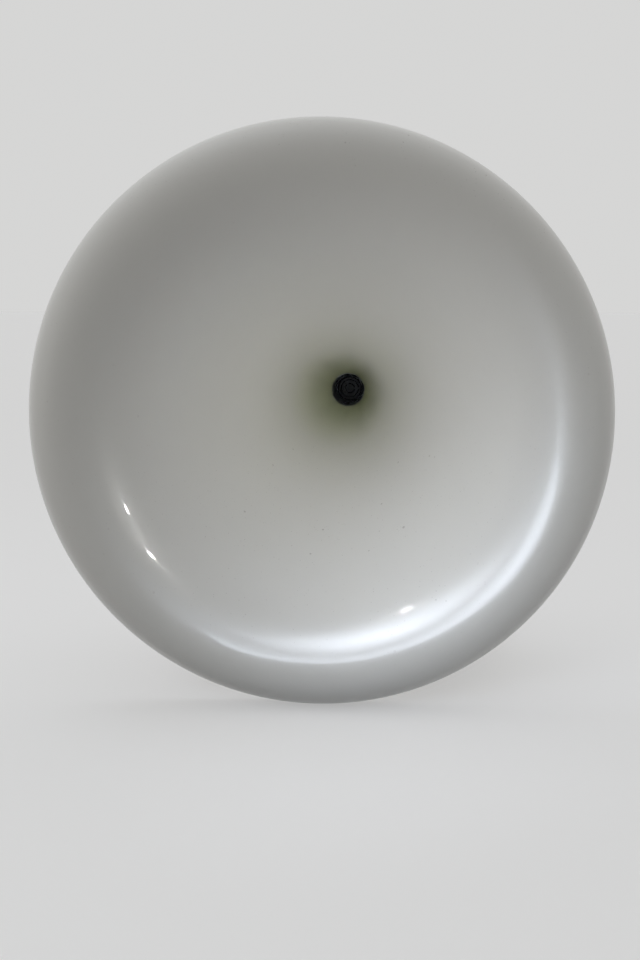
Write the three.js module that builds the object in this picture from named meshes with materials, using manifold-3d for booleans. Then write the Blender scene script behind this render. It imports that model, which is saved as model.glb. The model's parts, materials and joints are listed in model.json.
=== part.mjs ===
// A large round loudspeaker horn with its compression driver, held at the neck by a split ring that
// tilts between two steel uprights on a birch plywood board.
//
// Millimetres, +Z up. The mouth faces -Y and +X is on the right of someone who looks into it. The origin
// is the centre of the board's underside, and the tilt axis runs along X above it.
// Inside the tilting head, y = 0 is the throat plane: the mouth lies at negative y, the driver at positive y.

import * as THREE from "three";
import { mergeVertices } from "three/addons/utils/BufferGeometryUtils.js";
import Module from "manifold-3d";

const wasm = await Module();
wasm.setup();

// Fits
const seatGap = 0.3; // between pieces that bear on each other
const boltClearance = 0.5; // between a shank and its hole
const cutOverrun = 2; // how far a cutting tool runs past the piece it cuts

// Roundness
const shellSides = 52;
const ringSides = 28;
const innerSides = 20;
const smallSides = 16;
const fastenerSides = 8;
const hexSides = 6;
const arcSegments = 8;

// Flare
const mouthRadius = 393;
const throatRadius = 25.4;
const flareShare = 2.2; // cutoff wave number times the mouth's diameter
const throatOpeningShare = 2; // how much faster than an exponential flare the throat opens
const lipEndShare = 1.12; // wavefront height at the lip's edge, as a share of the mouth's radius
const wall = 6;
const boreStations = 13;
const curlStations = 6;
const lipStations = 3;
const outerBellStations = 6;
const outerNeckStations = 4;
const stationShare = 0.78; // below 1, the stations crowd towards the crest

// Horn neck
const neckRadius = 37.5;
const neckTaper = 12;
const clampLandRadius = 86;
const clampLandWidth = 44;
const clampLandTaper = 8;

// Throat flange
const flangeRadius = 68;
const flangeThickness = 12;
const collarLength = 26;
const collarWall = 6;

// Driver fastening
const boltCircleDiameter = 101.6;
const driverBoltCount = 4;
const driverBoltRadius = 3;
const driverBoltHeadRadius = 5.6;
const driverBoltHeadHeight = 4;
const driverBoltEngagement = 12;
const washerRadius = 6;
const washerThickness = 1.6;
const driverGasketRadius = 45;
const driverGasketThickness = 1.5;

// Driver motor
const plateRadius = 82;
const frontPlateThickness = 16;
const rearPlateThickness = 10;
const magnetRadius = 95;
const magnetBoreRadius = 50;
const magnetThickness = 24;
const poleSeatRadius = 44;
const poleRadius = 41;
const poleTipRadius = 37;
const poleTipLength = 12;
const boreWaistRadius = 20;
const plugSeatRadius = 33;
const plugDepth = 27;
const coilRadius = 37.6;
const coilWall = 1.2;
const coilLength = 11;
const coilGap = 0.7; // between the coil and the plate's bore

// Phase plug
const plugFrontRadius = 18;
const plugSlotWidth = 1.8;
const plugSlotShares = [0.36, 0.72]; // where the slots lie on the plug's radius
const plugRibCount = 3;
const plugRibWidth = 3;
const plugClearance = 1.2; // under the dome

// Diaphragm
const domeHeight = 12;
const domeThickness = 0.6;
const domeRimGap = 1.2; // from the rear plate to the dome's rim
const surroundRadius = 45;
const surroundRise = 1.6;
const diaphragmTravel = 0.4;
const diaphragmRingInner = 41;
const diaphragmRingOuter = 58;
const diaphragmRingThickness = 6;
const diaphragmRingLift = 1.2; // how far its clamping step stands off the rear plate
const diaphragmStepRadius = 46;
const diaphragmScrewCircle = 104;
const diaphragmScrewCount = 4;
const diaphragmScrewRadius = 1.5;
const diaphragmScrewHeadRadius = 2.8;
const diaphragmScrewHeadHeight = 2;
const diaphragmScrewEngagement = 6;

// Rear cover
const coverInnerRadius = 61;
const coverWall = 4;
const coverFlangeRadius = 78;
const coverFlangeThickness = 6;
const coverDepth = 44;
const coverCornerRadius = 14;
const coverGasketInner = 62;
const coverGasketOuter = 66.5;
const coverGasketThickness = 1;
const coverScrewCircle = 142;
const coverScrewCount = 6;
const coverScrewRadius = 2.5;
const coverScrewHeadRadius = 4.3;
const coverScrewHeadHeight = 5;
const coverScrewEngagement = 7;
const socketShare = 0.5; // socket depth and radius, as a share of the screw's head
const paddingRadius = 24;
const paddingThickness = 6;

// Terminals and leads
const terminalWidth = 46;
const terminalHeight = 24;
const terminalDepth = 11;
const terminalLift = 36; // from the driver's axis
const terminalSpacing = 22;
const buttonWidth = 12;
const buttonHeight = 14;
const buttonStroke = 2.5;
const buttonProud = 5;
const buttonPocket = 7;
const buttonClearance = 0.4;
const leadHoleRadius = 3;
const leadRadius = 0.8;
const leadSides = 6;
const leadSteps = 9;
const leadEndSpread = 30;

// Tilt
const tiltAxisFromThroat = 250;
const axisHeight = 270;

// Split ring
const linerThickness = 3;
const linerSplit = 6;
const clampWall = 12;
const clampWidth = 40;
const clampSplit = 5;
const earThickness = 12;
const earHeight = 24;
const bossRadius = 22;
const bossLength = 25;
const bossRoot = 4; // how deep the boss is rooted in the ring
const clampBoltRadius = 4;
const clampBoltHeadRadius = 7.5;
const clampBoltHeadHeight = 5.3;
const clampNutHeight = 6.5;
const clampBoltProud = 3;

// Knobs
const studRadius = 5;
const studEngagement = 18;
const knobRadius = 28;
const knobLobeDepth = 4;
const knobLobes = 6;
const knobPointsPerLobe = 6;
const knobThickness = 16;
const knobHubRadius = 14;
const knobHubLength = 8;
const frictionWasherThickness = 2;

// Uprights
const plateGauge = 6;
const uprightHeadRadius = 32;
const footLength = 220;
const footWidth = 50;
const bendRadius = 10;
const footShoulder = 34; // height at which the plate starts to narrow
const footScrewCount = 3;
const footScrewEnd = 25; // from the foot's end to the last screw
const footScrewRadius = 2.4;
const footScrewHeadRadius = 5;
const footScrewHeadHeight = 3.2;
const footScrewLength = 22;

// Board
const boardWidth = 420;
const boardDepth = 400;
const boardThickness = 21;
const boardCornerRadius = 18;

// Finishes
const finish = (color, roughness, metalness) => new THREE.MeshStandardMaterial({ color, roughness, metalness });
const gelCoat = finish(0xe6e5e1, 0.35, 0);
const castAluminium = finish(0xb4b6b8, 0.45, 1);
const blackCastAluminium = finish(0x26272a, 0.5, 0.6);
const zincSteel = finish(0xa9acb0, 0.35, 1);
const powderCoatedSteel = finish(0x2b2c2e, 0.6, 0.2);
const ferrite = finish(0x37363a, 0.7, 0.1);
const titanium = finish(0x9a9892, 0.35, 1);
const copper = finish(0xb06a3c, 0.4, 1);
const phenolic = finish(0x5a3a22, 0.6, 0);
const blackPlastic = finish(0x1b1b1d, 0.5, 0);
const redPlastic = finish(0xa31f1c, 0.45, 0);
const rubber = finish(0x232324, 0.85, 0);
const gasketCard = finish(0x4a4c4e, 0.9, 0);
const felt = finish(0x76736c, 0.95, 0);
const birchPlywood = finish(0xd9b98a, 0.55, 0);

// Solids: join and cut closed meshes
function asSolid(geometry) {
  const bare = geometry.clone();
  bare.deleteAttribute("normal");
  bare.deleteAttribute("uv");
  const merged = mergeVertices(bare, 1e-4);
  const corners = [];
  for (let i = 0; i < merged.index.count; i += 3) {
    const [a, b, c] = merged.index.array.slice(i, i + 3);
    if (a !== b && b !== c && c !== a) corners.push(a, b, c);
  }
  const vertProperties = new Float32Array(merged.attributes.position.array);
  return new wasm.Manifold(new wasm.Mesh({ numProp: 3, vertProperties, triVerts: new Uint32Array(corners) }));
}

function asGeometry(solid) {
  const { vertProperties, triVerts } = solid.getMesh();
  const geometry = new THREE.BufferGeometry();
  geometry.setAttribute("position", new THREE.BufferAttribute(vertProperties, 3));
  geometry.setIndex(new THREE.BufferAttribute(triVerts, 1));
  return geometry.toNonIndexed();
}

const join = (...shapes) => asGeometry(shapes.map(asSolid).reduce((whole, next) => whole.add(next)));
const cut = (shape, ...tools) =>
  asGeometry(tools.map(asSolid).reduce((whole, tool) => whole.subtract(tool), asSolid(shape)));
const common = (shape, other) => asGeometry(asSolid(shape).intersect(asSolid(other)));

// A ring or disc turned about the Y axis, from a closed outline of [radius, y] points.
function turned(outline, sides = ringSides) {
  let doubleArea = 0;
  outline.forEach(([r, y], i) => {
    const [nextR, nextY] = outline[(i + 1) % outline.length];
    doubleArea += r * nextY - nextR * y;
  });
  const points = (doubleArea > 0 ? outline : outline.toReversed()).map(([r, y]) => new THREE.Vector2(r, y));
  const startsOnAxis = points.findIndex((p) => p.x === 0);
  if (startsOnAxis < 0) return new THREE.LatheGeometry([...points, points[0]], sides);
  while (points[0].x !== 0 || points.at(-1).x !== 0) points.push(points.shift());
  return new THREE.LatheGeometry(points, sides);
}

// A washer-like ring between two y places.
const ring = (inner, outer, from, to, sides = ringSides) =>
  turned([[inner, from], [outer, from], [outer, to], [inner, to]], sides);

// A round bar along Y between two y places.
const bar = (radius, from, to, sides = ringSides) => turned([[0, from], [radius, from], [radius, to], [0, to]], sides);

// Corner radius of a many-sided hole whose flats stay one seat gap off a round piece.
const clearOf = (radius, sides) => (radius + seatGap) / Math.cos(Math.PI / sides);

// Turns a shape made along Y so that it lies along +X.
const alongX = (geometry) => geometry.rotateZ(-Math.PI / 2);

// Turns a shape made along Y so that it stands along +Z.
const alongZ = (geometry) => geometry.rotateX(Math.PI / 2);

// Places on a circle about the Y axis, the first one turned by startAngle from +X.
const circlePlaces = (diameter, count, startAngle = 0) =>
  Array.from({ length: count }, (_, i) => {
    const angle = startAngle + (2 * Math.PI * i) / count;
    return [(diameter / 2) * Math.cos(angle), 0, (diameter / 2) * Math.sin(angle)];
  });

const driverBoltPlaces = circlePlaces(boltCircleDiameter, driverBoltCount, Math.PI / driverBoltCount);
const diaphragmScrewPlaces = circlePlaces(diaphragmScrewCircle, diaphragmScrewCount, Math.PI / diaphragmScrewCount);
const coverScrewPlaces = circlePlaces(coverScrewCircle, coverScrewCount);

// A turned screw along Y: its head's underside is at y = seat, its shank runs towards +Y.
function screw({ radius, headRadius, headHeight, seat, tip, sides = fastenerSides, socket = true }) {
  const top = seat - headHeight;
  const socketRadius = headRadius * socketShare;
  const socketFloor = top + headHeight * socketShare;
  const head = socket ? [[0, socketFloor], [socketRadius, socketFloor], [socketRadius, top]] : [[0, top]];
  return turned([...head, [headRadius, top], [headRadius, seat], [radius, seat], [radius, tip], [0, tip]], sides);
}

// Flare: the wavefront that touches the wall is a cap of a sphere as wide as the mouth, and the cap's
// height grows with the distance that the wave has travelled from the throat.
const flareRate = flareShare / (2 * mouthRadius);
const throatCap = mouthRadius - Math.sqrt(mouthRadius ** 2 - throatRadius ** 2);

function wallAt(travel) {
  const growth = Math.cosh(flareRate * travel) + throatOpeningShare * Math.sinh(flareRate * travel);
  const cap = throatCap * growth ** 2;
  return { radius: Math.sqrt(cap * (2 * mouthRadius - cap)), forward: travel - cap + throatCap };
}

function travelToCap(cap) {
  const growth = Math.sqrt(cap / throatCap);
  const power = growth + Math.sqrt(growth ** 2 - 1 + throatOpeningShare ** 2);
  return Math.log(power / (1 + throatOpeningShare)) / flareRate;
}

// The wall stops running forward at the crest and is widest at the equator, then curls back to the lip's edge.
const capExcess = throatCap * (throatOpeningShare ** 2 - 1);
const crestCap = (Math.hypot(capExcess, 1 / flareRate) - capExcess) / 2;
const crestTravel = travelToCap(crestCap);
const equatorTravel = travelToCap(mouthRadius);
const lipTravel = travelToCap(lipEndShare * mouthRadius);

function travelToForward(forward) {
  let low = 0;
  let high = crestTravel;
  for (let i = 0; i < 60; i++) {
    const middle = (low + high) / 2;
    if (wallAt(middle).forward < forward) low = middle;
    else high = middle;
  }
  return low;
}

// The wall's far side, one wall thickness square to the flare.
function outerAt(travel) {
  const step = lipTravel / 1e4;
  const before = wallAt(travel - step);
  const after = wallAt(travel + step);
  const along = new THREE.Vector2(after.radius - before.radius, after.forward - before.forward).normalize();
  const here = wallAt(travel);
  return { radius: here.radius + along.y * wall, forward: here.forward - along.x * wall };
}

const stations = (at, from, to, count, power = 1) =>
  Array.from({ length: count }, (_, i) => {
    const { radius, forward } = at(from + (to - from) * (i / (count - 1)) ** power);
    return [radius, -forward];
  });

function hornShell() {
  const neckFace = flangeThickness + seatGap;
  const neckLandEnd = flangeThickness + collarLength + neckTaper;
  const landFront = tiltAxisFromThroat + clampLandWidth / 2;
  const landRear = tiltAxisFromThroat - clampLandWidth / 2;
  const front = [
    ...stations(wallAt, travelToForward(neckFace), crestTravel, boreStations, stationShare),
    ...stations(wallAt, crestTravel, equatorTravel, curlStations).slice(1),
    ...stations(wallAt, equatorTravel, lipTravel, lipStations).slice(1),
  ];
  const mouthBack = [
    ...stations(outerAt, lipTravel, equatorTravel, lipStations),
    ...stations(outerAt, equatorTravel, crestTravel, curlStations).slice(1),
    ...stations(
      outerAt, crestTravel, travelToForward(landFront + clampLandTaper), outerBellStations, 1 / stationShare,
    ).slice(1),
  ];
  const neckBack = stations(
    outerAt, travelToForward(landRear - clampLandTaper), travelToForward(neckLandEnd), outerNeckStations,
  );
  const clampLand = [[clampLandRadius, -landFront], [clampLandRadius, -landRear]];
  const neckLand = [[neckRadius, -flangeThickness - collarLength], [neckRadius, -neckFace]];
  return turned([...front, ...mouthBack, ...clampLand, ...neckBack, ...neckLand], shellSides);
}

function throatFlange() {
  const boreAtFront = wallAt(travelToForward(flangeThickness)).radius;
  const collarInner = clearOf(neckRadius, ringSides);
  const collarOuter = collarInner + collarWall;
  const collarEnd = flangeThickness + collarLength;
  const body = turned([
    [throatRadius, 0],
    [boreAtFront, -flangeThickness],
    [collarInner, -flangeThickness],
    [collarInner, -collarEnd],
    [collarOuter, -collarEnd],
    [collarOuter, -flangeThickness],
    [flangeRadius, -flangeThickness],
    [flangeRadius, 0],
  ]);
  const hole = () =>
    bar(driverBoltRadius + boltClearance, -flangeThickness - cutOverrun, cutOverrun, fastenerSides);
  return cut(body, ...driverBoltPlaces.map((place) => hole().translate(...place)));
}

// Places along the driver, in order from the throat
const gasketFront = seatGap;
const frontPlateFront = gasketFront + driverGasketThickness + seatGap;
const magnetFront = frontPlateFront + frontPlateThickness + seatGap;
const rearPlateFront = magnetFront + magnetThickness + seatGap;
const rearPlateBack = rearPlateFront + rearPlateThickness;
const domeRim = rearPlateBack + domeRimGap;
const coverSeat = rearPlateBack + coverGasketThickness + 2 * seatGap;
const coverBack = coverSeat + coverDepth;

const driverGasket = () =>
  ring(throatRadius, driverGasketRadius, gasketFront, gasketFront + driverGasketThickness, innerSides);

function driverBolt() {
  const seat = -flangeThickness - washerThickness - 2 * seatGap;
  const head = bar(driverBoltHeadRadius, seat - driverBoltHeadHeight, seat, hexSides);
  const shank = bar(driverBoltRadius, seat - seatGap, frontPlateFront + driverBoltEngagement, fastenerSides);
  return join(head, shank);
}

function boltWasher() {
  const front = -flangeThickness - seatGap - washerThickness;
  return ring(driverBoltRadius + boltClearance, washerRadius, front, front + washerThickness, fastenerSides);
}

function driverFrontPlate() {
  const body = ring(poleSeatRadius + seatGap, plateRadius, frontPlateFront, frontPlateFront + frontPlateThickness);
  const tapped = () =>
    bar(
      driverBoltRadius + boltClearance,
      frontPlateFront - cutOverrun,
      frontPlateFront + driverBoltEngagement + boltClearance,
      fastenerSides,
    );
  return cut(body, ...driverBoltPlaces.map((place) => tapped().translate(...place)));
}

// The bore widens from the plug's front to the exit, and again towards the plug's seat.
const plugFront = rearPlateBack - plugDepth;
const boreWaist = plugFront - seatGap;

function polePiece() {
  return turned([
    [throatRadius, frontPlateFront],
    [poleSeatRadius, frontPlateFront],
    [poleSeatRadius, frontPlateFront + frontPlateThickness],
    [poleRadius, frontPlateFront + frontPlateThickness],
    [poleRadius, rearPlateBack - poleTipLength],
    [poleTipRadius, rearPlateBack - poleTipLength],
    [poleTipRadius, rearPlateBack],
    [plugSeatRadius, rearPlateBack],
    [boreWaistRadius, boreWaist],
  ]);
}

const magnetRing = () => ring(magnetBoreRadius, magnetRadius, magnetFront, magnetFront + magnetThickness);

function rearPlate() {
  const body = ring(coilRadius + coilWall + coilGap, plateRadius, rearPlateFront, rearPlateBack);
  const tapped = (radius, depth, place) =>
    bar(radius + boltClearance, rearPlateBack - depth - boltClearance, rearPlateBack + cutOverrun, fastenerSides)
      .translate(...place);
  return cut(
    body,
    ...coverScrewPlaces.map((place) => tapped(coverScrewRadius, coverScrewEngagement, place)),
    ...diaphragmScrewPlaces.map((place) => tapped(diaphragmScrewRadius, diaphragmScrewEngagement, place)),
  );
}

// The dome is a cap of a sphere: how far its hollow side stands behind the rim at a radius.
const domeInner = coilRadius;
const domeSphere = (domeInner ** 2 + domeHeight ** 2) / (2 * domeHeight);
const domeRise = (radius) => Math.sqrt(domeSphere ** 2 - radius ** 2) - (domeSphere - domeHeight);
const domeArcShares = [0, 0.36, 0.7, 1];

function phasePlug() {
  const rearRadius = plugSeatRadius - seatGap;
  const behind = (radius) => domeRim + domeRise(radius) - plugClearance;
  const rear = domeArcShares.map((share) => [share * rearRadius, behind(share * rearRadius)]);
  const seatRim = [rearRadius, rearPlateBack];
  const body = turned([[0, plugFront], [plugFrontRadius, plugFront], seatRim, ...rear.toReversed()], innerSides);
  const slot = (share) =>
    turned([
      [share * plugFrontRadius, plugFront - cutOverrun],
      [share * plugFrontRadius + plugSlotWidth, plugFront - cutOverrun],
      [share * rearRadius + plugSlotWidth, domeRim + domeHeight],
      [share * rearRadius, domeRim + domeHeight],
    ], innerSides);
  const rib = (_, i) =>
    new THREE.BoxGeometry(rearRadius, plugDepth, plugRibWidth)
      .translate(rearRadius / 2, plugFront + plugDepth / 2, 0)
      .rotateY((2 * Math.PI * i) / plugRibCount);
  const slotted = cut(body, ...plugSlotShares.map(slot));
  return join(slotted, common(body, join(...Array.from({ length: plugRibCount }, rib))));
}

function diaphragmDome() {
  const hollow = domeArcShares.map((share) => [share * domeInner, domeRim + domeRise(share * domeInner)]);
  const crown = domeArcShares.map((share) => [
    share * (domeInner + domeThickness),
    domeRim + domeThickness + domeRise(share * domeInner),
  ]);
  const rollRadius = (domeInner + coilWall + surroundRadius) / 2;
  const rollTop = domeRim + surroundRise;
  return turned([
    ...hollow,
    [domeInner + coilWall, domeRim],
    [rollRadius, rollTop],
    [surroundRadius, domeRim],
    [surroundRadius, domeRim + domeThickness],
    [rollRadius, rollTop + domeThickness],
    [domeInner + coilWall, domeRim + domeThickness],
    ...crown.toReversed(),
  ], innerSides);
}

const voiceCoil = () =>
  ring(coilRadius, coilRadius + coilWall, domeRim - seatGap - coilLength, domeRim - seatGap, innerSides);

function diaphragmRing() {
  const front = rearPlateBack + seatGap;
  const back = front + diaphragmRingThickness;
  const step = front + diaphragmRingLift + surroundRise + domeThickness + diaphragmTravel;
  const body = turned([
    [diaphragmStepRadius, front],
    [diaphragmRingOuter, front],
    [diaphragmRingOuter, back],
    [diaphragmRingInner, back],
    [diaphragmRingInner, step],
    [diaphragmStepRadius, step],
  ]);
  const hole = () => bar(diaphragmScrewRadius + boltClearance, front - cutOverrun, back + cutOverrun, fastenerSides);
  return cut(body, ...diaphragmScrewPlaces.map((place) => hole().translate(...place)));
}

// A screw that goes in from the back of the driver: made along +Y, then turned end for end.
const rearScrew = (size) => screw({ ...size, seat: -size.seat, tip: -size.tip }).rotateX(Math.PI);

const diaphragmScrew = () =>
  rearScrew({
    radius: diaphragmScrewRadius,
    headRadius: diaphragmScrewHeadRadius,
    headHeight: diaphragmScrewHeadHeight,
    seat: rearPlateBack + diaphragmRingThickness + 2 * seatGap,
    tip: rearPlateBack - diaphragmScrewEngagement,
    socket: false,
  });

const coverScrew = () =>
  rearScrew({
    radius: coverScrewRadius,
    headRadius: coverScrewHeadRadius,
    headHeight: coverScrewHeadHeight,
    seat: coverSeat + coverFlangeThickness + seatGap,
    tip: rearPlateBack - coverScrewEngagement,
  });

const coverGasket = () => {
  const front = rearPlateBack + seatGap;
  return ring(coverGasketInner, coverGasketOuter, front, front + coverGasketThickness, innerSides);
};

function rearCover() {
  const outer = coverInnerRadius + coverWall;
  const body = turned([
    [coverInnerRadius, coverSeat],
    [coverFlangeRadius, coverSeat],
    [coverFlangeRadius, coverSeat + coverFlangeThickness],
    [outer, coverSeat + coverFlangeThickness],
    [outer, coverBack - coverCornerRadius],
    [outer - coverCornerRadius * (1 - Math.SQRT1_2), coverBack - coverCornerRadius * (1 - Math.SQRT1_2)],
    [outer - coverCornerRadius, coverBack],
    [0, coverBack],
    [0, coverBack - coverWall],
    [outer - coverCornerRadius, coverBack - coverWall],
    [coverInnerRadius, coverBack - coverCornerRadius],
  ]);
  const screwHole = () =>
    bar(coverScrewRadius + boltClearance, coverSeat - cutOverrun, coverSeat + coverFlangeThickness + cutOverrun, fastenerSides);
  const leadHole = bar(leadHoleRadius, coverBack - coverWall - cutOverrun, coverBack + cutOverrun, fastenerSides);
  return cut(
    body,
    ...coverScrewPlaces.map((place) => screwHole().translate(...place)),
    leadHole.translate(0, 0, terminalLift),
  );
}

const dampingPad = () => {
  const back = coverBack - coverWall - seatGap;
  return bar(paddingRadius, back - paddingThickness, back, innerSides);
};

function terminalBlock() {
  const front = coverBack + seatGap;
  const body = new THREE.BoxGeometry(terminalWidth, terminalDepth, terminalHeight)
    .translate(0, front + terminalDepth / 2, terminalLift);
  const pocket = (side) =>
    new THREE.BoxGeometry(
      buttonWidth + 2 * buttonClearance, buttonPocket + cutOverrun, buttonHeight + 2 * buttonClearance,
    ).translate(
      (side * terminalSpacing) / 2,
      front + terminalDepth - buttonPocket + (buttonPocket + cutOverrun) / 2,
      terminalLift,
    );
  return cut(body, pocket(-1), pocket(1));
}

function pushTerminal(side) {
  const pocketFloor = coverBack + seatGap + terminalDepth - buttonPocket;
  const front = pocketFloor + buttonStroke + buttonClearance;
  const back = coverBack + seatGap + terminalDepth + buttonProud;
  return new THREE.BoxGeometry(buttonWidth, back - front, buttonHeight)
    .translate((side * terminalSpacing) / 2, (front + back) / 2, terminalLift);
}

// A lead from the cover's hole down to the diaphragm ring's rear face.
function lead(side) {
  const ringBack = rearPlateBack + seatGap + diaphragmRingThickness;
  const holeOffset = side * (leadRadius + seatGap / 2 + seatGap);
  const endRadius = (diaphragmStepRadius + diaphragmRingOuter) / 2;
  const endX = side * leadEndSpread;
  const endZ = Math.sqrt(endRadius ** 2 - leadEndSpread ** 2);
  const startY = coverBack;
  const endY = ringBack + seatGap;
  const route = new THREE.CubicBezierCurve3(
    new THREE.Vector3(holeOffset, startY, terminalLift),
    new THREE.Vector3(holeOffset, (startY + endY) / 2, terminalLift),
    new THREE.Vector3(endX, (startY + endY) / 2, endZ),
    new THREE.Vector3(endX, endY, endZ),
  );
  const section = new THREE.Shape(
    Array.from({ length: leadSides }, (_, i) => {
      const angle = (2 * Math.PI * i) / leadSides;
      return new THREE.Vector2(leadRadius * Math.cos(angle), leadRadius * Math.sin(angle));
    }),
  );
  return new THREE.ExtrudeGeometry(section, { extrudePath: route, steps: leadSteps });
}

// Split ring
const linerInner = clampLandRadius + seatGap;
const clampInner = linerInner + linerThickness + seatGap;
const clampOuter = clampInner + clampWall;
const bossEnd = clampOuter + bossLength;
const earTop = clampOuter + earHeight;
const clampBoltHeight = clampOuter + earHeight / 2;

function clampHalf() {
  const edge = clampSplit / 2;
  const earEdge = edge + earThickness;
  const earRoot = clampInner + clampWall / 2;
  const band = ring(clampInner, clampOuter, -clampWidth / 2, clampWidth / 2, shellSides);
  const otherSide = new THREE.BoxGeometry(2 * clampOuter, clampWidth + 2 * cutOverrun, 3 * clampOuter)
    .translate(edge - clampOuter, 0, 0);
  const ear = (side) =>
    new THREE.BoxGeometry(earThickness, clampWidth, earTop - earRoot)
      .translate(edge + earThickness / 2, 0, (side * (earTop + earRoot)) / 2);
  const boss = alongX(bar(bossRadius, clampOuter - bossRoot, bossEnd, smallSides));
  const tapped = alongX(
    bar(studRadius + boltClearance, bossEnd - studEngagement - boltClearance, bossEnd + cutOverrun, fastenerSides),
  );
  const boltHole = (height) =>
    alongX(bar(clampBoltRadius + boltClearance, edge - cutOverrun, earEdge + cutOverrun, fastenerSides))
      .translate(0, 0, height);
  return cut(
    join(cut(band, otherSide), ear(1), ear(-1), boss), tapped, boltHole(clampBoltHeight), boltHole(-clampBoltHeight),
  );
}

function clampLiner() {
  const outer = linerInner + linerThickness;
  const band = ring(linerInner, outer, -clampWidth / 2, clampWidth / 2, shellSides);
  const split = new THREE.BoxGeometry(linerSplit, clampWidth + 2 * cutOverrun, outer).translate(0, 0, outer);
  return cut(band, split);
}

const earFace = clampSplit / 2 + earThickness + seatGap;

const clampBoltPlaces = [[0, 0, clampBoltHeight], [0, 0, -clampBoltHeight]];

function clampBolt() {
  const head = bar(clampBoltHeadRadius, -earFace - clampBoltHeadHeight, -earFace, hexSides);
  const tip = earFace + clampNutHeight + clampBoltProud;
  return alongX(join(head, bar(clampBoltRadius, -earFace - seatGap, tip, fastenerSides)));
}

function clampNut() {
  const blank = bar(clampBoltHeadRadius, earFace, earFace + clampNutHeight, hexSides);
  const thread = bar(
    clampBoltRadius + boltClearance, earFace - cutOverrun, earFace + clampNutHeight + cutOverrun, fastenerSides,
  );
  return alongX(cut(blank, thread));
}

// Tilt joint, outwards along +X
const frictionWasherInner = bossEnd + seatGap;
const uprightInner = frictionWasherInner + frictionWasherThickness + seatGap;
const uprightOuter = uprightInner + plateGauge;
const knobFace = uprightOuter + seatGap;

const frictionWasher = () =>
  alongX(
    ring(
      studRadius + boltClearance, bossRadius,
      frictionWasherInner, frictionWasherInner + frictionWasherThickness, smallSides,
    ),
  );

function knob() {
  const pointCount = knobLobes * knobPointsPerLobe;
  const star = new THREE.Shape(
    Array.from({ length: pointCount }, (_, i) => {
      const angle = (2 * Math.PI * i) / pointCount;
      const radius = knobRadius - knobLobeDepth + knobLobeDepth * Math.cos(knobLobes * angle);
      return new THREE.Vector2(radius * Math.cos(angle), radius * Math.sin(angle));
    }),
  );
  const grip = new THREE.ExtrudeGeometry(star, { depth: knobThickness, bevelEnabled: false })
    .rotateY(Math.PI / 2)
    .translate(knobFace + knobHubLength, 0, 0);
  const hub = alongX(bar(knobHubRadius, knobFace, knobFace + knobHubLength + cutOverrun, smallSides));
  const stud = alongX(bar(studRadius, bossEnd - studEngagement, knobFace + cutOverrun, fastenerSides));
  return join(grip, hub, stud);
}

const footScrewX = uprightInner + bendRadius + plateGauge + (footWidth - bendRadius - plateGauge) / 2;
const footScrewSpacing = (footLength - 2 * footScrewEnd) / (footScrewCount - 1);
const footScrewRow = Array.from(
  { length: footScrewCount },
  (_, i) => (i - (footScrewCount - 1) / 2) * footScrewSpacing,
);
const footScrewPlaces = [-1, 1].flatMap((side) => footScrewRow.map((y) => [side * footScrewX, y, 0]));

// A shape in the x-z plane, extruded along Y
const extrudedAlongY = (shape, width) =>
  new THREE.ExtrudeGeometry(shape, { depth: width, bevelEnabled: false, curveSegments: arcSegments })
    .translate(0, 0, -width / 2)
    .rotateX(Math.PI / 2);

// Uprights: a bent plate, seen from the side as a foot that narrows to a round head
function upright() {
  const bottom = boardThickness + seatGap;
  const section = new THREE.Shape();
  const bendCentre = bendRadius + plateGauge;
  section.moveTo(footWidth, 0);
  section.lineTo(footWidth, plateGauge);
  section.lineTo(bendCentre, plateGauge);
  section.absarc(bendCentre, bendCentre, bendRadius, -Math.PI / 2, -Math.PI, true);
  section.lineTo(plateGauge, axisHeight + uprightHeadRadius - bottom);
  section.lineTo(0, axisHeight + uprightHeadRadius - bottom);
  section.lineTo(0, bendCentre);
  section.absarc(bendCentre, bendCentre, bendCentre, Math.PI, (3 * Math.PI) / 2, false);
  const bent = extrudedAlongY(section, footLength).translate(uprightInner, 0, bottom);

  const rise = axisHeight - footShoulder - bottom;
  const reach = Math.hypot(footLength / 2, rise);
  const touch = Math.PI / 2 - Math.atan2(footLength / 2, rise) - Math.asin(uprightHeadRadius / reach);
  const side = new THREE.Shape();
  side.moveTo(-footLength / 2, bottom - cutOverrun);
  side.lineTo(footLength / 2, bottom - cutOverrun);
  side.lineTo(footLength / 2, bottom + footShoulder);
  side.absarc(0, axisHeight, uprightHeadRadius, Math.PI / 2 - touch, Math.PI / 2 + touch, false);
  side.lineTo(-footLength / 2, bottom + footShoulder);
  const sidePlate = new THREE.ExtrudeGeometry(side, {
    depth: footWidth + 2 * cutOverrun, bevelEnabled: false, curveSegments: arcSegments,
  })
    .rotateX(Math.PI / 2)
    .rotateZ(Math.PI / 2)
    .translate(uprightInner - cutOverrun, 0, 0);

  const axleHole = alongX(
    bar(studRadius + boltClearance, uprightInner - cutOverrun, uprightOuter + cutOverrun, fastenerSides),
  ).translate(0, 0, axisHeight);
  const screwHole = (y) =>
    alongZ(bar(footScrewRadius + boltClearance, bottom - cutOverrun, bottom + plateGauge + cutOverrun, fastenerSides))
      .translate(footScrewX, y, 0);
  return cut(common(bent, sidePlate), axleHole, ...footScrewRow.map(screwHole));
}

function uprightScrew() {
  const seat = boardThickness + plateGauge + 2 * seatGap;
  return screw({
    radius: footScrewRadius,
    headRadius: footScrewHeadRadius,
    headHeight: footScrewHeadHeight,
    socket: false,
    seat: -seat,
    tip: -seat + footScrewLength,
  }).rotateX(-Math.PI / 2);
}

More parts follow.
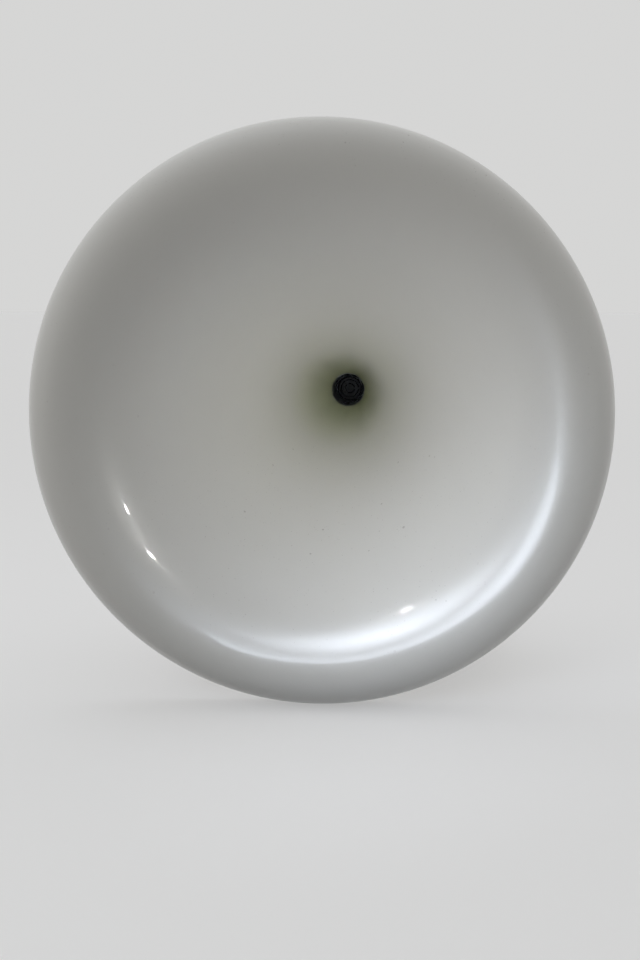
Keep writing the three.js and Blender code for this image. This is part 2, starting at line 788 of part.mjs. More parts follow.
function baseBoard() {
  const x = boardWidth / 2;
  const y = boardDepth / 2;
  const r = boardCornerRadius;
  const outline = new THREE.Shape();
  outline.absarc(x - r, y - r, r, 0, Math.PI / 2, false);
  outline.absarc(r - x, y - r, r, Math.PI / 2, Math.PI, false);
  outline.absarc(r - x, r - y, r, Math.PI, (3 * Math.PI) / 2, false);
  outline.absarc(x - r, r - y, r, (3 * Math.PI) / 2, 2 * Math.PI, false);
  const board = new THREE.ExtrudeGeometry(outline, {
    depth: boardThickness, bevelEnabled: false, curveSegments: arcSegments / 2,
  });
  const pilotBottom = boardThickness + plateGauge + seatGap - footScrewLength;
  const pilot = () =>
    alongZ(bar(footScrewRadius + boltClearance, pilotBottom, boardThickness + cutOverrun, fastenerSides));
  const pilots = footScrewPlaces.map((place) => pilot().translate(...place));
  return cut(board, ...pilots);
}

// Assembly
const root = new THREE.Group();
const head = new THREE.Group();
head.position.set(0, tiltAxisFromThroat, axisHeight);
const tilt = new THREE.Group();
tilt.position.set(0, 0, axisHeight);
root.add(head, tilt);

function place(name, geometry, material, parent = root, turn = 0, at = [0, 0, 0]) {
  const mesh = new THREE.Mesh(geometry, material);
  mesh.name = name;
  mesh.position.set(...at);
  mesh.rotation.z = turn;
  parent.add(mesh);
}

// Identical fasteners, numbered from 1
function placeEach(name, geometry, places, parent = root, material = zincSteel) {
  places.forEach((at, i) => place(`${name}_${i + 1}`, geometry, material, parent, 0, at));
}

place("horn_shell", hornShell(), gelCoat, head);
place("throat_flange", throatFlange(), castAluminium, head);
place("driver_gasket", driverGasket(), gasketCard, head);
placeEach("driver_bolt", driverBolt(), driverBoltPlaces, head);
placeEach("bolt_washer", boltWasher(), driverBoltPlaces, head);
place("driver_front_plate", driverFrontPlate(), zincSteel, head);
place("pole_piece", polePiece(), zincSteel, head);
place("magnet_ring", magnetRing(), ferrite, head);
place("rear_plate", rearPlate(), zincSteel, head);
place("phase_plug", phasePlug(), blackPlastic, head);
place("diaphragm_dome", diaphragmDome(), titanium, head);
place("voice_coil", voiceCoil(), copper, head);
place("diaphragm_ring", diaphragmRing(), phenolic, head);
placeEach("diaphragm_screw", diaphragmScrew(), diaphragmScrewPlaces, head);
place("cover_gasket", coverGasket(), gasketCard, head);
place("rear_cover", rearCover(), blackCastAluminium, head);
placeEach("cover_screw", coverScrew(), coverScrewPlaces, head);
place("damping_pad", dampingPad(), felt, head);
place("terminal_block", terminalBlock(), blackPlastic, head);
place("push_terminal_red", pushTerminal(-1), redPlastic, head);
place("push_terminal_black", pushTerminal(1), blackPlastic, head);
place("lead_wire_red", lead(-1), redPlastic, head);
place("lead_wire_black", lead(1), blackPlastic, head);

place("clamp_half_right", clampHalf(), castAluminium, tilt);
place("clamp_half_left", clampHalf(), castAluminium, tilt, Math.PI);
place("clamp_liner", clampLiner(), rubber, tilt);
placeEach("clamp_bolt", clampBolt(), clampBoltPlaces, tilt);
placeEach("clamp_nut", clampNut(), clampBoltPlaces, tilt);
place("friction_washer_right", frictionWasher(), rubber, tilt);
place("friction_washer_left", frictionWasher(), rubber, tilt, Math.PI);
place("knob_right", knob(), blackPlastic, tilt);
place("knob_left", knob(), blackPlastic, tilt, Math.PI);

place("upright_right", upright(), powderCoatedSteel);
place("upright_left", upright(), powderCoatedSteel, root, Math.PI);
placeEach("upright_screw", uprightScrew(), footScrewPlaces);
place("base_board", baseBoard(), birchPlywood);

export default root;
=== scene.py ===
# A large round loudspeaker horn with its compression driver and tilting stand: the finished pieces.
# Metres, +Z up. The mouth faces -Y, +X is on the right of someone who looks into it.

import json
from math import asin, atan2, cos, cosh, hypot, log, pi, radians, sin, sinh, sqrt

import bmesh
import bpy
from mathutils import Matrix, Vector
from mathutils.kdtree import KDTree

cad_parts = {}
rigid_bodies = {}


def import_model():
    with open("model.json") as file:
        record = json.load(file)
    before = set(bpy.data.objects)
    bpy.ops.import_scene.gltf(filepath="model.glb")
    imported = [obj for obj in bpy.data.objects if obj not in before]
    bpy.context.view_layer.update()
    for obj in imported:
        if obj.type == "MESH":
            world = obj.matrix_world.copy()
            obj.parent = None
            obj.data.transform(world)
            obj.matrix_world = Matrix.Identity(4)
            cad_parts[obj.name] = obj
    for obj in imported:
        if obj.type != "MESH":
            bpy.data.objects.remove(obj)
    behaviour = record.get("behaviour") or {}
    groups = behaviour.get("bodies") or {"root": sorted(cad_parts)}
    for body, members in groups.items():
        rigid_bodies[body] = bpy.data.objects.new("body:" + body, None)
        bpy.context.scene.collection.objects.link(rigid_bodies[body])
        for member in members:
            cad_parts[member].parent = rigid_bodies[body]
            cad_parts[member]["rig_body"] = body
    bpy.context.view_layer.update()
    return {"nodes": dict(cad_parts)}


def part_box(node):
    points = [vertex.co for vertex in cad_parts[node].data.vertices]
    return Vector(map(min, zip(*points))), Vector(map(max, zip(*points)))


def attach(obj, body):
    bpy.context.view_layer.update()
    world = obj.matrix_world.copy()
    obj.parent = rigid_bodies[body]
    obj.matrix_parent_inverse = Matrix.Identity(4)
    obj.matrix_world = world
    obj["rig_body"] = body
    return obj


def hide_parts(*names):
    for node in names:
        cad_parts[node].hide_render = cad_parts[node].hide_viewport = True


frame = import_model()
nodes = frame["nodes"]
scene = bpy.context.scene

MM = 0.001

# Places taken from the frame
shell_low, shell_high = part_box("horn_shell")
MOUTH_RADIUS = (shell_high.x - shell_low.x) / 2
AXIS_Z = (shell_high.z + shell_low.z) / 2
THROAT_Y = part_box("throat_flange")[1].y
RIM_BOTTOM = shell_low.z

# Flare, as in the CAD model
THROAT_RADIUS = 25.4 * MM
FLARE_SHARE = 2.2
OPENING_SHARE = 2.0
LIP_END_SHARE = 1.12
WALL = 6 * MM
LIP_ROUNDING = 2.6 * MM
NECK_FACE = 12.3 * MM
NECK_LAND_END = 38 * MM
NECK_TAPER_END = 50 * MM
NECK_RADIUS = 37.5 * MM
CLAMP_LAND_RADIUS = 86 * MM
CLAMP_LAND_HALF = 22 * MM
CLAMP_LAND_TAPER = 8 * MM

# Points along the shell's outline
FRONT_POINTS = 120
LIP_POINTS = 26
LIP_BACK_POINTS = 22
BELL_BACK_POINTS = 50
NECK_POINTS = 26
PAINT_POINTS = 1500

# Fits and roundness
SEAT_GAP = 0.3 * MM
CLEARANCE = 0.5 * MM
OVERRUN = 2 * MM
SHELL_STEPS = 256
ROUND_STEPS = 128
WIDE_STEPS = 96
SMALL_STEPS = 48
SMOOTH_ANGLE = radians(38)
SOFTENED_ANGLE = radians(50)
BEVEL_SEGMENTS = 3
SAME_PLACE = 1e-6
ON_AXIS = 1e-7

# Fasteners and their holes, circles by radius. Ring screws hold the diaphragm's ring.
BOLT_CIRCLE = 50.8 * MM
BOLT_RADIUS = 3 * MM
BOLT_HOLE = BOLT_RADIUS + CLEARANCE
BOLT_HOLE_DEPTH = 12 * MM
BOLT_HEAD = 4 * MM
COVER_SCREW_CIRCLE = 71 * MM
COVER_SCREW_RADIUS = 2.5 * MM
COVER_SCREW_HOLE = COVER_SCREW_RADIUS + CLEARANCE
COVER_SCREW_HOLE_DEPTH = 7.5 * MM
RING_SCREW_CIRCLE = 52 * MM
RING_SCREW_RADIUS = 1.5 * MM
RING_SCREW_HOLE = RING_SCREW_RADIUS + CLEARANCE
RING_SCREW_HOLE_DEPTH = 6.5 * MM
FOOT_SCREW_RADIUS = 2.4 * MM
FOOT_SCREW_HOLE = FOOT_SCREW_RADIUS + CLEARANCE
CLAMP_BOLT_RADIUS = 4 * MM
CLAMP_BOLT_HOLE = CLAMP_BOLT_RADIUS + CLEARANCE
CLAMP_BOLT_HEAD = 5.3 * MM
STUD_RADIUS = 5 * MM
STUD_HOLE = STUD_RADIUS + CLEARANCE
STUD_HOLE_DEPTH = 18.5 * MM

# Shares of a head's size
HEX_LAND = 0.86
SOCKET_HEAD = 1.16
PLAIN_HEAD = 0.72
SOCKET_SHARE = 0.55
CROSS_LENGTH = 0.5
CROSS_WIDTH = 0.11

# Flare: the wavefront that touches the wall is a cap of a sphere as wide as the mouth
FLARE_RATE = FLARE_SHARE / (2 * MOUTH_RADIUS)
THROAT_CAP = MOUTH_RADIUS - sqrt(MOUTH_RADIUS**2 - THROAT_RADIUS**2)
HALVINGS = 60
SLOPE_STEPS = 10000


def wall_at(travel):
    """Radius and forward distance of the wall where the wave has travelled so far from the throat."""
    growth = cosh(FLARE_RATE * travel) + OPENING_SHARE * sinh(FLARE_RATE * travel)
    cap = THROAT_CAP * growth**2
    return sqrt(cap * (2 * MOUTH_RADIUS - cap)), travel - cap + THROAT_CAP


def travel_to_cap(cap):
    growth = sqrt(cap / THROAT_CAP)
    power = growth + sqrt(growth**2 - 1 + OPENING_SHARE**2)
    return log(power / (1 + OPENING_SHARE)) / FLARE_RATE


CAP_EXCESS = THROAT_CAP * (OPENING_SHARE**2 - 1)
CREST_TRAVEL = travel_to_cap((hypot(CAP_EXCESS, 1 / FLARE_RATE) - CAP_EXCESS) / 2)
EQUATOR_TRAVEL = travel_to_cap(MOUTH_RADIUS)
LIP_TRAVEL = travel_to_cap(LIP_END_SHARE * MOUTH_RADIUS)
EQUATOR_Y = THROAT_Y - wall_at(EQUATOR_TRAVEL)[1]


def travel_to_forward(forward):
    low, high = 0.0, CREST_TRAVEL
    for _ in range(HALVINGS):
        middle = (low + high) / 2
        if wall_at(middle)[1] < forward:
            low = middle
        else:
            high = middle
    return low


def outer_at(travel):
    """The wall's far side, one wall thickness square to the flare."""
    step = LIP_TRAVEL / SLOPE_STEPS
    before, after = Vector(wall_at(travel - step)), Vector(wall_at(travel + step))
    slope = (after - before).normalized()
    radius, forward = wall_at(travel)
    return radius + slope.y * WALL, forward - slope.x * WALL


def evenly(start, end, steps):
    return [start + (end - start) * i / steps for i in range(steps + 1)]


def run_of(at, start, end, count):
    """Points of an outline as (radius, y), evenly spread along the wave's travel."""
    places = (at(travel) for travel in evenly(start, end, count - 1))
    return [(radius, THROAT_Y - forward) for radius, forward in places]


# Meshes
def smooth(mesh):
    mesh.shade_smooth()
    mesh.set_sharp_from_angle(angle=SMOOTH_ANGLE)


def mesh_piece(name, bm):
    """A new object at the origin that holds this bmesh, with its place in the mesh."""
    mesh = bpy.data.meshes.new(name)
    bm.to_mesh(mesh)
    bm.free()
    smooth(mesh)
    piece = bpy.data.objects.new(name, mesh)
    scene.collection.objects.link(piece)
    return piece


def round_off(bm, geom, width, segments, affect):
    bmesh.ops.bevel(
        bm, geom=geom, offset=width, offset_type="OFFSET", segments=segments,
        profile=0.5, affect=affect, clamp_overlap=True, material=-1,
    )


def turned(outline, soft=0.0, steps=ROUND_STEPS, segments=4):
    """A ring or disc turned about the horn's axis from a closed outline of (radius, y) points.
    A third value in a point is that corner's own rounding."""
    bm = bmesh.new()
    corners = [bm.verts.new((point[0], point[1], AXIS_Z)) for point in outline]
    rounding = {}
    for corner, point in zip(corners, outline):
        rounding.setdefault(point[2] if len(point) > 2 else soft, []).append(corner)
    bm.faces.new(corners)
    for radius, chosen in rounding.items():
        if radius:
            round_off(bm, [corner for corner in chosen if corner.co.x > 0], radius, segments, "VERTICES")
    bmesh.ops.delete(bm, geom=bm.faces[:], context="FACES_ONLY")
    on_axis = [edge for edge in bm.edges if all(vert.co.x < ON_AXIS for vert in edge.verts)]
    bmesh.ops.delete(bm, geom=on_axis, context="EDGES")
    bmesh.ops.spin(
        bm, geom=bm.verts[:] + bm.edges[:], cent=(0, 0, AXIS_Z), axis=(0, 1, 0),
        angle=2 * pi, steps=steps, use_merge=True,
    )
    bmesh.ops.remove_doubles(bm, verts=bm.verts, dist=SAME_PLACE)
    bmesh.ops.recalc_face_normals(bm, faces=bm.faces)
    return bm


def ring(inner, outer, front, back, soft=0.0, steps=ROUND_STEPS):
    return turned([(inner, front), (outer, front), (outer, back), (inner, back)], soft, steps)


def rod(radius, front, back, soft=0.0, steps=SMALL_STEPS):
    return turned([(0, front), (radius, front), (radius, back), (0, back)], soft, steps)


def hex_rod(corner_radius, front, back):
    return rod(corner_radius, front, back, steps=6)


def prism(outline, depth, soft=0.0, segments=BEVEL_SEGMENTS):
    """A flat outline in the x-y plane, given its depth along +Z, with its sharp edges softened."""
    bm = bmesh.new()
    face = bm.faces.new([bm.verts.new((x, y, 0)) for x, y in outline])
    grown = bmesh.ops.extrude_face_region(bm, geom=[face])
    tops = [item for item in grown["geom"] if isinstance(item, bmesh.types.BMVert)]
    bmesh.ops.translate(bm, verts=tops, vec=(0, 0, depth))
    bmesh.ops.recalc_face_normals(bm, faces=bm.faces)
    return softened(bm, soft, segments)


def softened(bm, soft, segments=BEVEL_SEGMENTS):
    if soft:
        sharp = [edge for edge in bm.edges if edge.calc_face_angle(0) > SOFTENED_ANGLE]
        round_off(bm, sharp, soft, segments, "EDGES")
    return bm


def block(low, high, soft=0.0):
    bm = bmesh.new()
    bmesh.ops.create_cube(bm, size=1)
    bmesh.ops.scale(bm, vec=Vector(high) - Vector(low), verts=bm.verts)
    bmesh.ops.translate(bm, vec=(Vector(high) + Vector(low)) / 2, verts=bm.verts)
    return softened(bm, soft)


def moved(bm, matrix):
    bmesh.ops.transform(bm, matrix=matrix, verts=bm.verts)
    return bm


def shifted(bm, x=0.0, y=0.0, z=0.0):
    return moved(bm, Matrix.Translation((x, y, z)))


AXIS_POINT = Vector((0, 0, AXIS_Z))
TO_AXIS = Matrix.Translation(AXIS_POINT)
FROM_AXIS = Matrix.Translation(-AXIS_POINT)
Y_TO_X = TO_AXIS @ Matrix.Rotation(-pi / 2, 4, "Z") @ FROM_AXIS
Y_TO_Z = Matrix.Rotation(pi / 2, 4, "X") @ FROM_AXIS
HALF_TURN = Matrix.Rotation(pi, 4, "Z")


def cross_rod(radius, left, right, soft=0.0, steps=SMALL_STEPS):
    """A rod along X through the horn's axis."""
    return moved(rod(radius, left, right, soft, steps), Y_TO_X)


def boolean(piece, operation, *tools):
    """Joins or cuts the piece with other bmeshes, by exact booleans that are applied at once."""
    for tool in tools:
        other = mesh_piece("tool", tool)
        modifier = piece.modifiers.new("boolean", "BOOLEAN")
        modifier.operation = operation
        modifier.solver = "EXACT"
        modifier.object = other
        apply_modifiers(piece)
        bpy.data.objects.remove(other)
    return piece


def cut(piece, *tools):
    return boolean(piece, "DIFFERENCE", *tools)


def join(piece, *tools):
    return boolean(piece, "UNION", *tools)


def bevel(piece, width):
    """Rounds the piece's sharp edges after its joins."""
    modifier = piece.modifiers.new("bevel", "BEVEL")
    modifier.width = width
    modifier.segments = BEVEL_SEGMENTS
    modifier.limit_method = "ANGLE"
    modifier.angle_limit = SMOOTH_ANGLE
    modifier.use_clamp_overlap = True
    return apply_modifiers(piece)


def apply_modifiers(piece):
    bpy.context.view_layer.update()
    evaluated = piece.evaluated_get(bpy.context.evaluated_depsgraph_get())
    result = bpy.data.meshes.new_from_object(evaluated)
    piece.modifiers.clear()
    old = piece.data
    piece.data = result
    bpy.data.meshes.remove(old)
    smooth(result)
    return piece


def together(parts):
    """Several bmeshes as one, for a tool that cuts in many places at once."""
    whole = bmesh.new()
    for part in parts:
        mesh = bpy.data.meshes.new("part")
        part.to_mesh(mesh)
        part.free()
        whole.from_mesh(mesh)
        bpy.data.meshes.remove(mesh)
    return whole


def circle_places(radius, count, start=0.0):
    angles = (start + 2 * pi * i / count for i in range(count))
    return [(radius * cos(angle), radius * sin(angle)) for angle in angles]


def holes(radius, front, back, places):
    return together(shifted(rod(radius, front, back), x=x, z=z) for x, z in places)


BOLT_PLACES = circle_places(BOLT_CIRCLE, 4, pi / 4)
COVER_SCREW_PLACES = circle_places(COVER_SCREW_CIRCLE, 6)
RING_SCREW_PLACES = circle_places(RING_SCREW_CIRCLE, 4, pi / 4)


def radius_of(node):
    low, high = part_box(node)
    return (high.x - low.x) / 2


def span_y(node):
    low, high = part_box(node)
    return low.y, high.y


def middle_of(node):
    low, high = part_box(node)
    return [(start + end) / 2 for start, end in zip(low, high)]


def stand_in(node, piece, *finishes):
    """The piece stands for this CAD node: same body, its own mesh and finish."""
    piece.name = piece.data.name = node + "_fine"
    if node != "horn_shell":
        evened = piece.modifiers.new("even_normals", "WEIGHTED_NORMAL")
        evened.keep_sharp = True
    for finish in finishes:
        piece.data.materials.append(finish)
    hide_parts(node)
    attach(piece, nodes[node]["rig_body"])
    return piece


# Nodes of a material
def add(tree, kind, settings=None, **inputs):
    """A new shader node. An input takes a constant or another node's output."""
    node = tree.nodes.new(kind)
    for name, value in (settings or {}).items():
        setattr(node, name, value)
    for name, value in inputs.items():
        put(tree, node.inputs[name.replace("_", " ")], value)
    return node


def put(tree, socket, value):
    if isinstance(value, bpy.types.NodeSocket):
        tree.links.new(value, socket)
    else:
        socket.default_value = value


def material(name, **inputs):
    made = bpy.data.materials.new(name)
    made.use_nodes = True
    tree = made.node_tree
    shader = tree.nodes["Principled BSDF"]
    for socket, value in inputs.items():
        shader.inputs[socket.replace("_", " ")].default_value = value
    return made, tree, shader


def place_of(tree):
    return add(tree, "ShaderNodeTexCoord").outputs["Object"]


def along(tree, vector, axis):
    return add(tree, "ShaderNodeSeparateXYZ", Vector=vector).outputs[axis]


def facing_up(tree):
    """How far the surface faces up: 1 on top, 0 on an upright face, -1 underneath."""
    return along(tree, add(tree, "ShaderNodeNewGeometry").outputs["Normal"], "Z")


def noise(tree, scale, detail=4.0, roughness=0.55, stretch=None):
    """Noise at so many cells a metre, drawn out along an axis where stretch is below 1."""
    where = place_of(tree)
    if stretch:
        where = add(tree, "ShaderNodeMapping", Vector=where, Scale=stretch).outputs["Vector"]
    texture = add(tree, "ShaderNodeTexNoise", Vector=where, Scale=scale, Detail=detail, Roughness=roughness)
    return texture.outputs["Fac"]


def remap(tree, value, low, high, to_low=0.0, to_high=1.0):
    node = add(tree, "ShaderNodeMapRange", {"clamp": True})
    for index, item in enumerate((value, low, high, to_low, to_high)):
        put(tree, node.inputs[index], item)
    return node.outputs["Result"]


# Noise seldom leaves this range
NOISE_LOW = 0.3
NOISE_HIGH = 0.7


def uneven(tree, scale, low, high, detail=4.0):
    """A value that wanders from low to high and back, at so many cells a metre."""
    return remap(tree, noise(tree, scale, detail), NOISE_LOW, NOISE_HIGH, low, high)


def math_of(tree, operation, first, second=0.0):
    node = add(tree, "ShaderNodeMath", {"operation": operation})
    put(tree, node.inputs[0], first)
    put(tree, node.inputs[1], second)
    return node.outputs["Value"]


def plus(tree, first, second):
    return math_of(tree, "ADD", first, second)


def less(tree, first, second):
    return math_of(tree, "SUBTRACT", first, second)


def times(tree, first, second):
    return math_of(tree, "MULTIPLY", first, second)


def mix(tree, factor, first, second, blend="MIX"):
    node = add(tree, "ShaderNodeMix", {"data_type": "RGBA", "blend_type": blend})
    put(tree, node.inputs["Factor"], factor)
    put(tree, node.inputs[6], first)
    put(tree, node.inputs[7], second)
    return node.outputs[2]


def bump(tree, shader, height, depth):
    """Bump whose height of 1 is so many metres deep."""
    node = add(tree, "ShaderNodeBump", Strength=1.0, Distance=depth, Height=height)
    tree.links.new(node.outputs["Normal"], shader.inputs["Normal"])


def colour(red, green, blue):
    return (red, green, blue, 1.0)


def grey(level):
    return colour(level, level, level)


def shaded(base, share):
    """The colour, lighter or darker by a share."""
    return colour(*(min(1.0, channel * (1 + share)) for channel in base[:3]))


# Effects that several finishes share
def shader_group(name, inputs, outputs):
    """A node group with float or colour sockets: its tree, the values given to it and its outputs."""
    tree = bpy.data.node_groups.new(name, "ShaderNodeTree")
    kinds = {"float": "NodeSocketFloat", "colour": "NodeSocketColor"}
    for socket, kind in inputs.items():
        tree.interface.new_socket(socket, in_out="INPUT", socket_type=kinds[kind])
    for socket, kind in outputs.items():
        tree.interface.new_socket(socket, in_out="OUTPUT", socket_type=kinds[kind])
    return tree, tree.nodes.new("NodeGroupInput").outputs, tree.nodes.new("NodeGroupOutput").inputs


def mottle_group(fineness=9.0, broad_share=0.7, fine_share=0.3):
    """Uneven colour in broad soft patches and fine ones."""
    sockets = {"Colour": "colour", "Scale": "float", "Share": "float"}
    tree, given, out = shader_group("mottle", sockets, {"Colour": "colour"})
    broad = noise(tree, given["Scale"], detail=3.0)
    fine = noise(tree, times(tree, given["Scale"], fineness), detail=5.0)
    both = plus(tree, times(tree, broad, broad_share), times(tree, fine, fine_share))
    darkest = less(tree, 1.0, given["Share"])
    palest = plus(tree, 1.0, given["Share"])
    level = remap(tree, both, NOISE_LOW, NOISE_HIGH, darkest, palest)
    tree.links.new(mix(tree, 1.0, given["Colour"], level, "MULTIPLY"), out["Colour"])
    return tree


def wear_group(smooth=0.97, edge=0.8, kept=0.46, rubbed=0.62):
    """Mask of the outer edges, where handling has rubbed a finish."""
    tree, given, out = shader_group("edge_wear", {"Width": "float", "Scale": "float"}, {"Mask": "float"})
    rounded = add(tree, "ShaderNodeBevel", {"samples": 4}, Radius=given["Width"]).outputs["Normal"]
    true_normal = add(tree, "ShaderNodeNewGeometry").outputs["True Normal"]
    agreement = add(tree, "ShaderNodeVectorMath", {"operation": "DOT_PRODUCT"})
    put(tree, agreement.inputs[0], rounded)
    put(tree, agreement.inputs[1], true_normal)
    edges = remap(tree, agreement.outputs["Value"], smooth, edge)
    patches = remap(tree, noise(tree, given["Scale"], detail=6.0), kept, rubbed)
    tree.links.new(times(tree, edges, patches), out["Mask"])
    return tree


def turned_marks_group(depth_share=0.35):
    """Fine rings that a lathe leaves about the horn's axis."""
    tree, given, out = shader_group("turned_marks", {"Rings": "float"}, {"Height": "float"})
    centred = add(tree, "ShaderNodeMapping", Vector=place_of(tree), Scale=(1, depth_share, 1))
    centred.inputs["Location"].default_value = (0, 0, -AXIS_Z)
    length = add(tree, "ShaderNodeVectorMath", {"operation": "LENGTH"})
    put(tree, length.inputs[0], centred.outputs["Vector"])
    rings = add(tree, "ShaderNodeTexNoise", {"noise_dimensions": "1D"}, Scale=given["Rings"], Detail=3.0)
    put(tree, rings.inputs["W"], length.outputs["Value"])
    tree.links.new(rings.outputs["Fac"], out["Height"])
    return tree


def skin_group(fineness=4.0):
    """The skin of a casting or a baked powder: soft lumps with fine grain on them."""
    tree, given, out = shader_group("skin", {"Scale": "float", "Grain": "float"}, {"Height": "float"})
    lumps = noise(tree, given["Scale"], detail=2.0)
    grain = noise(tree, times(tree, given["Scale"], fineness))
    tree.links.new(plus(tree, lumps, times(tree, grain, given["Grain"])), out["Height"])
    return tree


MOTTLE = mottle_group()
EDGE_WEAR = wear_group()
TURNED_MARKS = turned_marks_group()
SKIN = skin_group()


def use_group(tree, group, **inputs):
    return add(tree, "ShaderNodeGroup", {"node_tree": group}, **inputs).outputs[0]


# Finishes
GEL_WHITE = colour(0.845, 0.835, 0.79)
# Painted shade: greener and darker than the white, for light bounced between the throat's walls.
THROAT_BOUNCE_SHADE = colour(0.78, 0.8, 0.6)
DUST = colour(0.58, 0.56, 0.52)
TINT_START = 260 * MM
TINT_FULL = 50 * MM
LARGEST_SPECK = 0.32
SPECK_EDGE = 0.05


def specks(tree, scale, share):
    """Mask of small round specks, so many cells a metre, of which the share keeps the largest."""
    cells = add(tree, "ShaderNodeTexVoronoi", Vector=place_of(tree), Scale=scale, Randomness=1.0).outputs
    chosen = add(tree, "ShaderNodeSeparateColor", Color=cells["Color"]).outputs["Red"]
    size = remap(tree, chosen, 1.0 - share, 1.0, 0.0, LARGEST_SPECK)
    return remap(tree, less(tree, size, cells["Distance"]), 0.0, SPECK_EDGE)


def gel_coat():
    """Glossy white gel coat with painted shade, greener deep in the throat for bounced light; faint
    smudges; settled dust.
    """
    made, tree, shader = material("white_gel_coat", Coat_Weight=0.35, Coat_Roughness=0.05)
    body = use_group(tree, MOTTLE, Colour=GEL_WHITE, Scale=3.0, Share=0.012)
    # Painted shade: the white turns greener and darker towards the throat, for light bounced between its
    # walls.
    throat_shade = remap(tree, along(tree, place_of(tree), "Y"), THROAT_Y - TINT_START, THROAT_Y - TINT_FULL)
    body = mix(tree, throat_shade, body, THROAT_BOUNCE_SHADE)
    settled = remap(tree, facing_up(tree), low=-0.1, high=0.7, to_low=0.12, to_high=0.75)
    fine_dust = specks(tree, scale=420.0, share=0.1)
    coarse_dust = specks(tree, scale=150.0, share=0.02)
    dust = times(tree, math_of(tree, "MAXIMUM", fine_dust, coarse_dust), settled)
    body = mix(tree, dust, body, DUST)
    smudges = remap(tree, noise(tree, 7.0, detail=1.0), low=0.2, high=0.8, to_low=0.29, to_high=0.35)
    gloss = plus(tree, smudges, times(tree, dust, 0.5))
    put(tree, shader.inputs["Base Color"], body)
    put(tree, shader.inputs["Roughness"], gloss)
    bump(tree, shader, noise(tree, 60.0, detail=2.0), depth=0.02 * MM)
    return made


def plain_back():
    """The horn's back: the same white, sanded and painted, with the mould's faint unevenness."""
    made, tree, shader = material("white_painted_back", Roughness=0.42)
    body = use_group(tree, MOTTLE, Colour=shaded(GEL_WHITE, -0.04), Scale=6.0, Share=0.03)
    put(tree, shader.inputs["Base Color"], body)
    put(tree, shader.inputs["Roughness"], uneven(tree, 25.0, low=0.36, high=0.52))
    bump(tree, shader, use_group(tree, SKIN, Scale=90.0, Grain=0.4), depth=0.12 * MM)
    return made


def metal(name, base, roughness, skin=0.0, skin_scale=400.0, rings=0.0):
    """A bare metal: uneven gloss, with cast skin or turned rings as bump."""
    made, tree, shader = material(name, Metallic=1.0)
    body = use_group(tree, MOTTLE, Colour=base, Scale=22.0, Share=0.08)
    gloss = uneven(tree, 40.0, low=roughness - 0.07, high=roughness + 0.09, detail=6.0)
    put(tree, shader.inputs["Base Color"], body)
    put(tree, shader.inputs["Roughness"], gloss)
    if rings:
        bump(tree, shader, use_group(tree, TURNED_MARKS, Rings=rings), depth=0.03 * MM)
    elif skin:
        bump(tree, shader, use_group(tree, SKIN, Scale=skin_scale, Grain=0.5), depth=skin)
    return made


def coated(name, base, roughness, skin, skin_scale, wear_colour=None, spread=0.06):
    """A painted, moulded or powder-coated surface, rubbed at the edges where it has a wear colour."""
    made, tree, shader = material(name)
    body = use_group(tree, MOTTLE, Colour=base, Scale=18.0, Share=spread)
    gloss = uneven(tree, 30.0, low=roughness - 0.06, high=roughness + 0.08, detail=6.0)
    if wear_colour:
        mask = use_group(tree, EDGE_WEAR, Width=0.8 * MM, Scale=160.0)
        body = mix(tree, mask, body, wear_colour)
        put(tree, shader.inputs["Metallic"], mask)
    put(tree, shader.inputs["Base Color"], body)
    put(tree, shader.inputs["Roughness"], gloss)
    bump(tree, shader, use_group(tree, SKIN, Scale=skin_scale, Grain=0.6), depth=skin)
    return made


CAST_ALUMINIUM = metal("cast_aluminium", colour(0.6, 0.61, 0.62), 0.38, skin=0.1 * MM, skin_scale=600.0)
ZINC_STEEL = metal("zinc_plated_steel", colour(0.62, 0.64, 0.66), 0.26, skin=0.01 * MM, skin_scale=900.0)
TURNED_ZINC_STEEL = metal("zinc_plated_turned_steel", colour(0.6, 0.62, 0.64), 0.28, rings=2600.0)
TITANIUM = metal("titanium", colour(0.46, 0.45, 0.43), 0.28, rings=5200.0)
COPPER = metal("copper", colour(0.72, 0.36, 0.2), 0.3, rings=9000.0)

# Each has its name, colour, roughness, the depth of its skin and the skin's cells a metre
FERRITE = coated("ferrite", colour(0.03, 0.03, 0.033), 0.62, 0.1 * MM, 700.0, spread=0.25)
BLACK_CASTING = coated(
    "black_cast_aluminium", colour(0.016, 0.016, 0.018), 0.46, 0.32 * MM, 900.0,
    wear_colour=colour(0.45, 0.45, 0.46),
)
POWDER_COAT = coated(
    "powder_coated_steel", colour(0.02, 0.021, 0.022), 0.5, 0.18 * MM, 1400.0,
    wear_colour=colour(0.32, 0.32, 0.33),
)
BLACK_PLASTIC = coated("black_plastic", colour(0.014, 0.014, 0.015), 0.4, 0.03 * MM, 1800.0)
PLUG_BLACK = coated("matt_black_plug", grey(0.007), 0.85, 0.04 * MM, 1500.0)
RED_PLASTIC = coated("red_plastic", colour(0.36, 0.014, 0.011), 0.34, 0.03 * MM, 1800.0)
RUBBER = coated("rubber", grey(0.018), 0.78, 0.05 * MM, 1200.0, spread=0.2)
GASKET_CARD = coated("gasket_card", colour(0.075, 0.078, 0.08), 0.88, 0.08 * MM, 2200.0, spread=0.25)
FELT = coated("felt", colour(0.19, 0.18, 0.165), 0.95, 0.5 * MM, 1500.0, spread=0.3)
PHENOLIC = coated("phenolic", colour(0.1, 0.042, 0.018), 0.5, 0.03 * MM, 1500.0, spread=0.2)

BIRCH_LIGHT = colour(0.77, 0.62, 0.43)
BIRCH_GRAIN = colour(0.58, 0.41, 0.245)
BIRCH_END_GRAIN = colour(0.45, 0.3, 0.17)
GLUE_LINE = colour(0.13, 0.075, 0.04)
PLY = 1.4 * MM
PLY_WANDER = 0.25 * MM


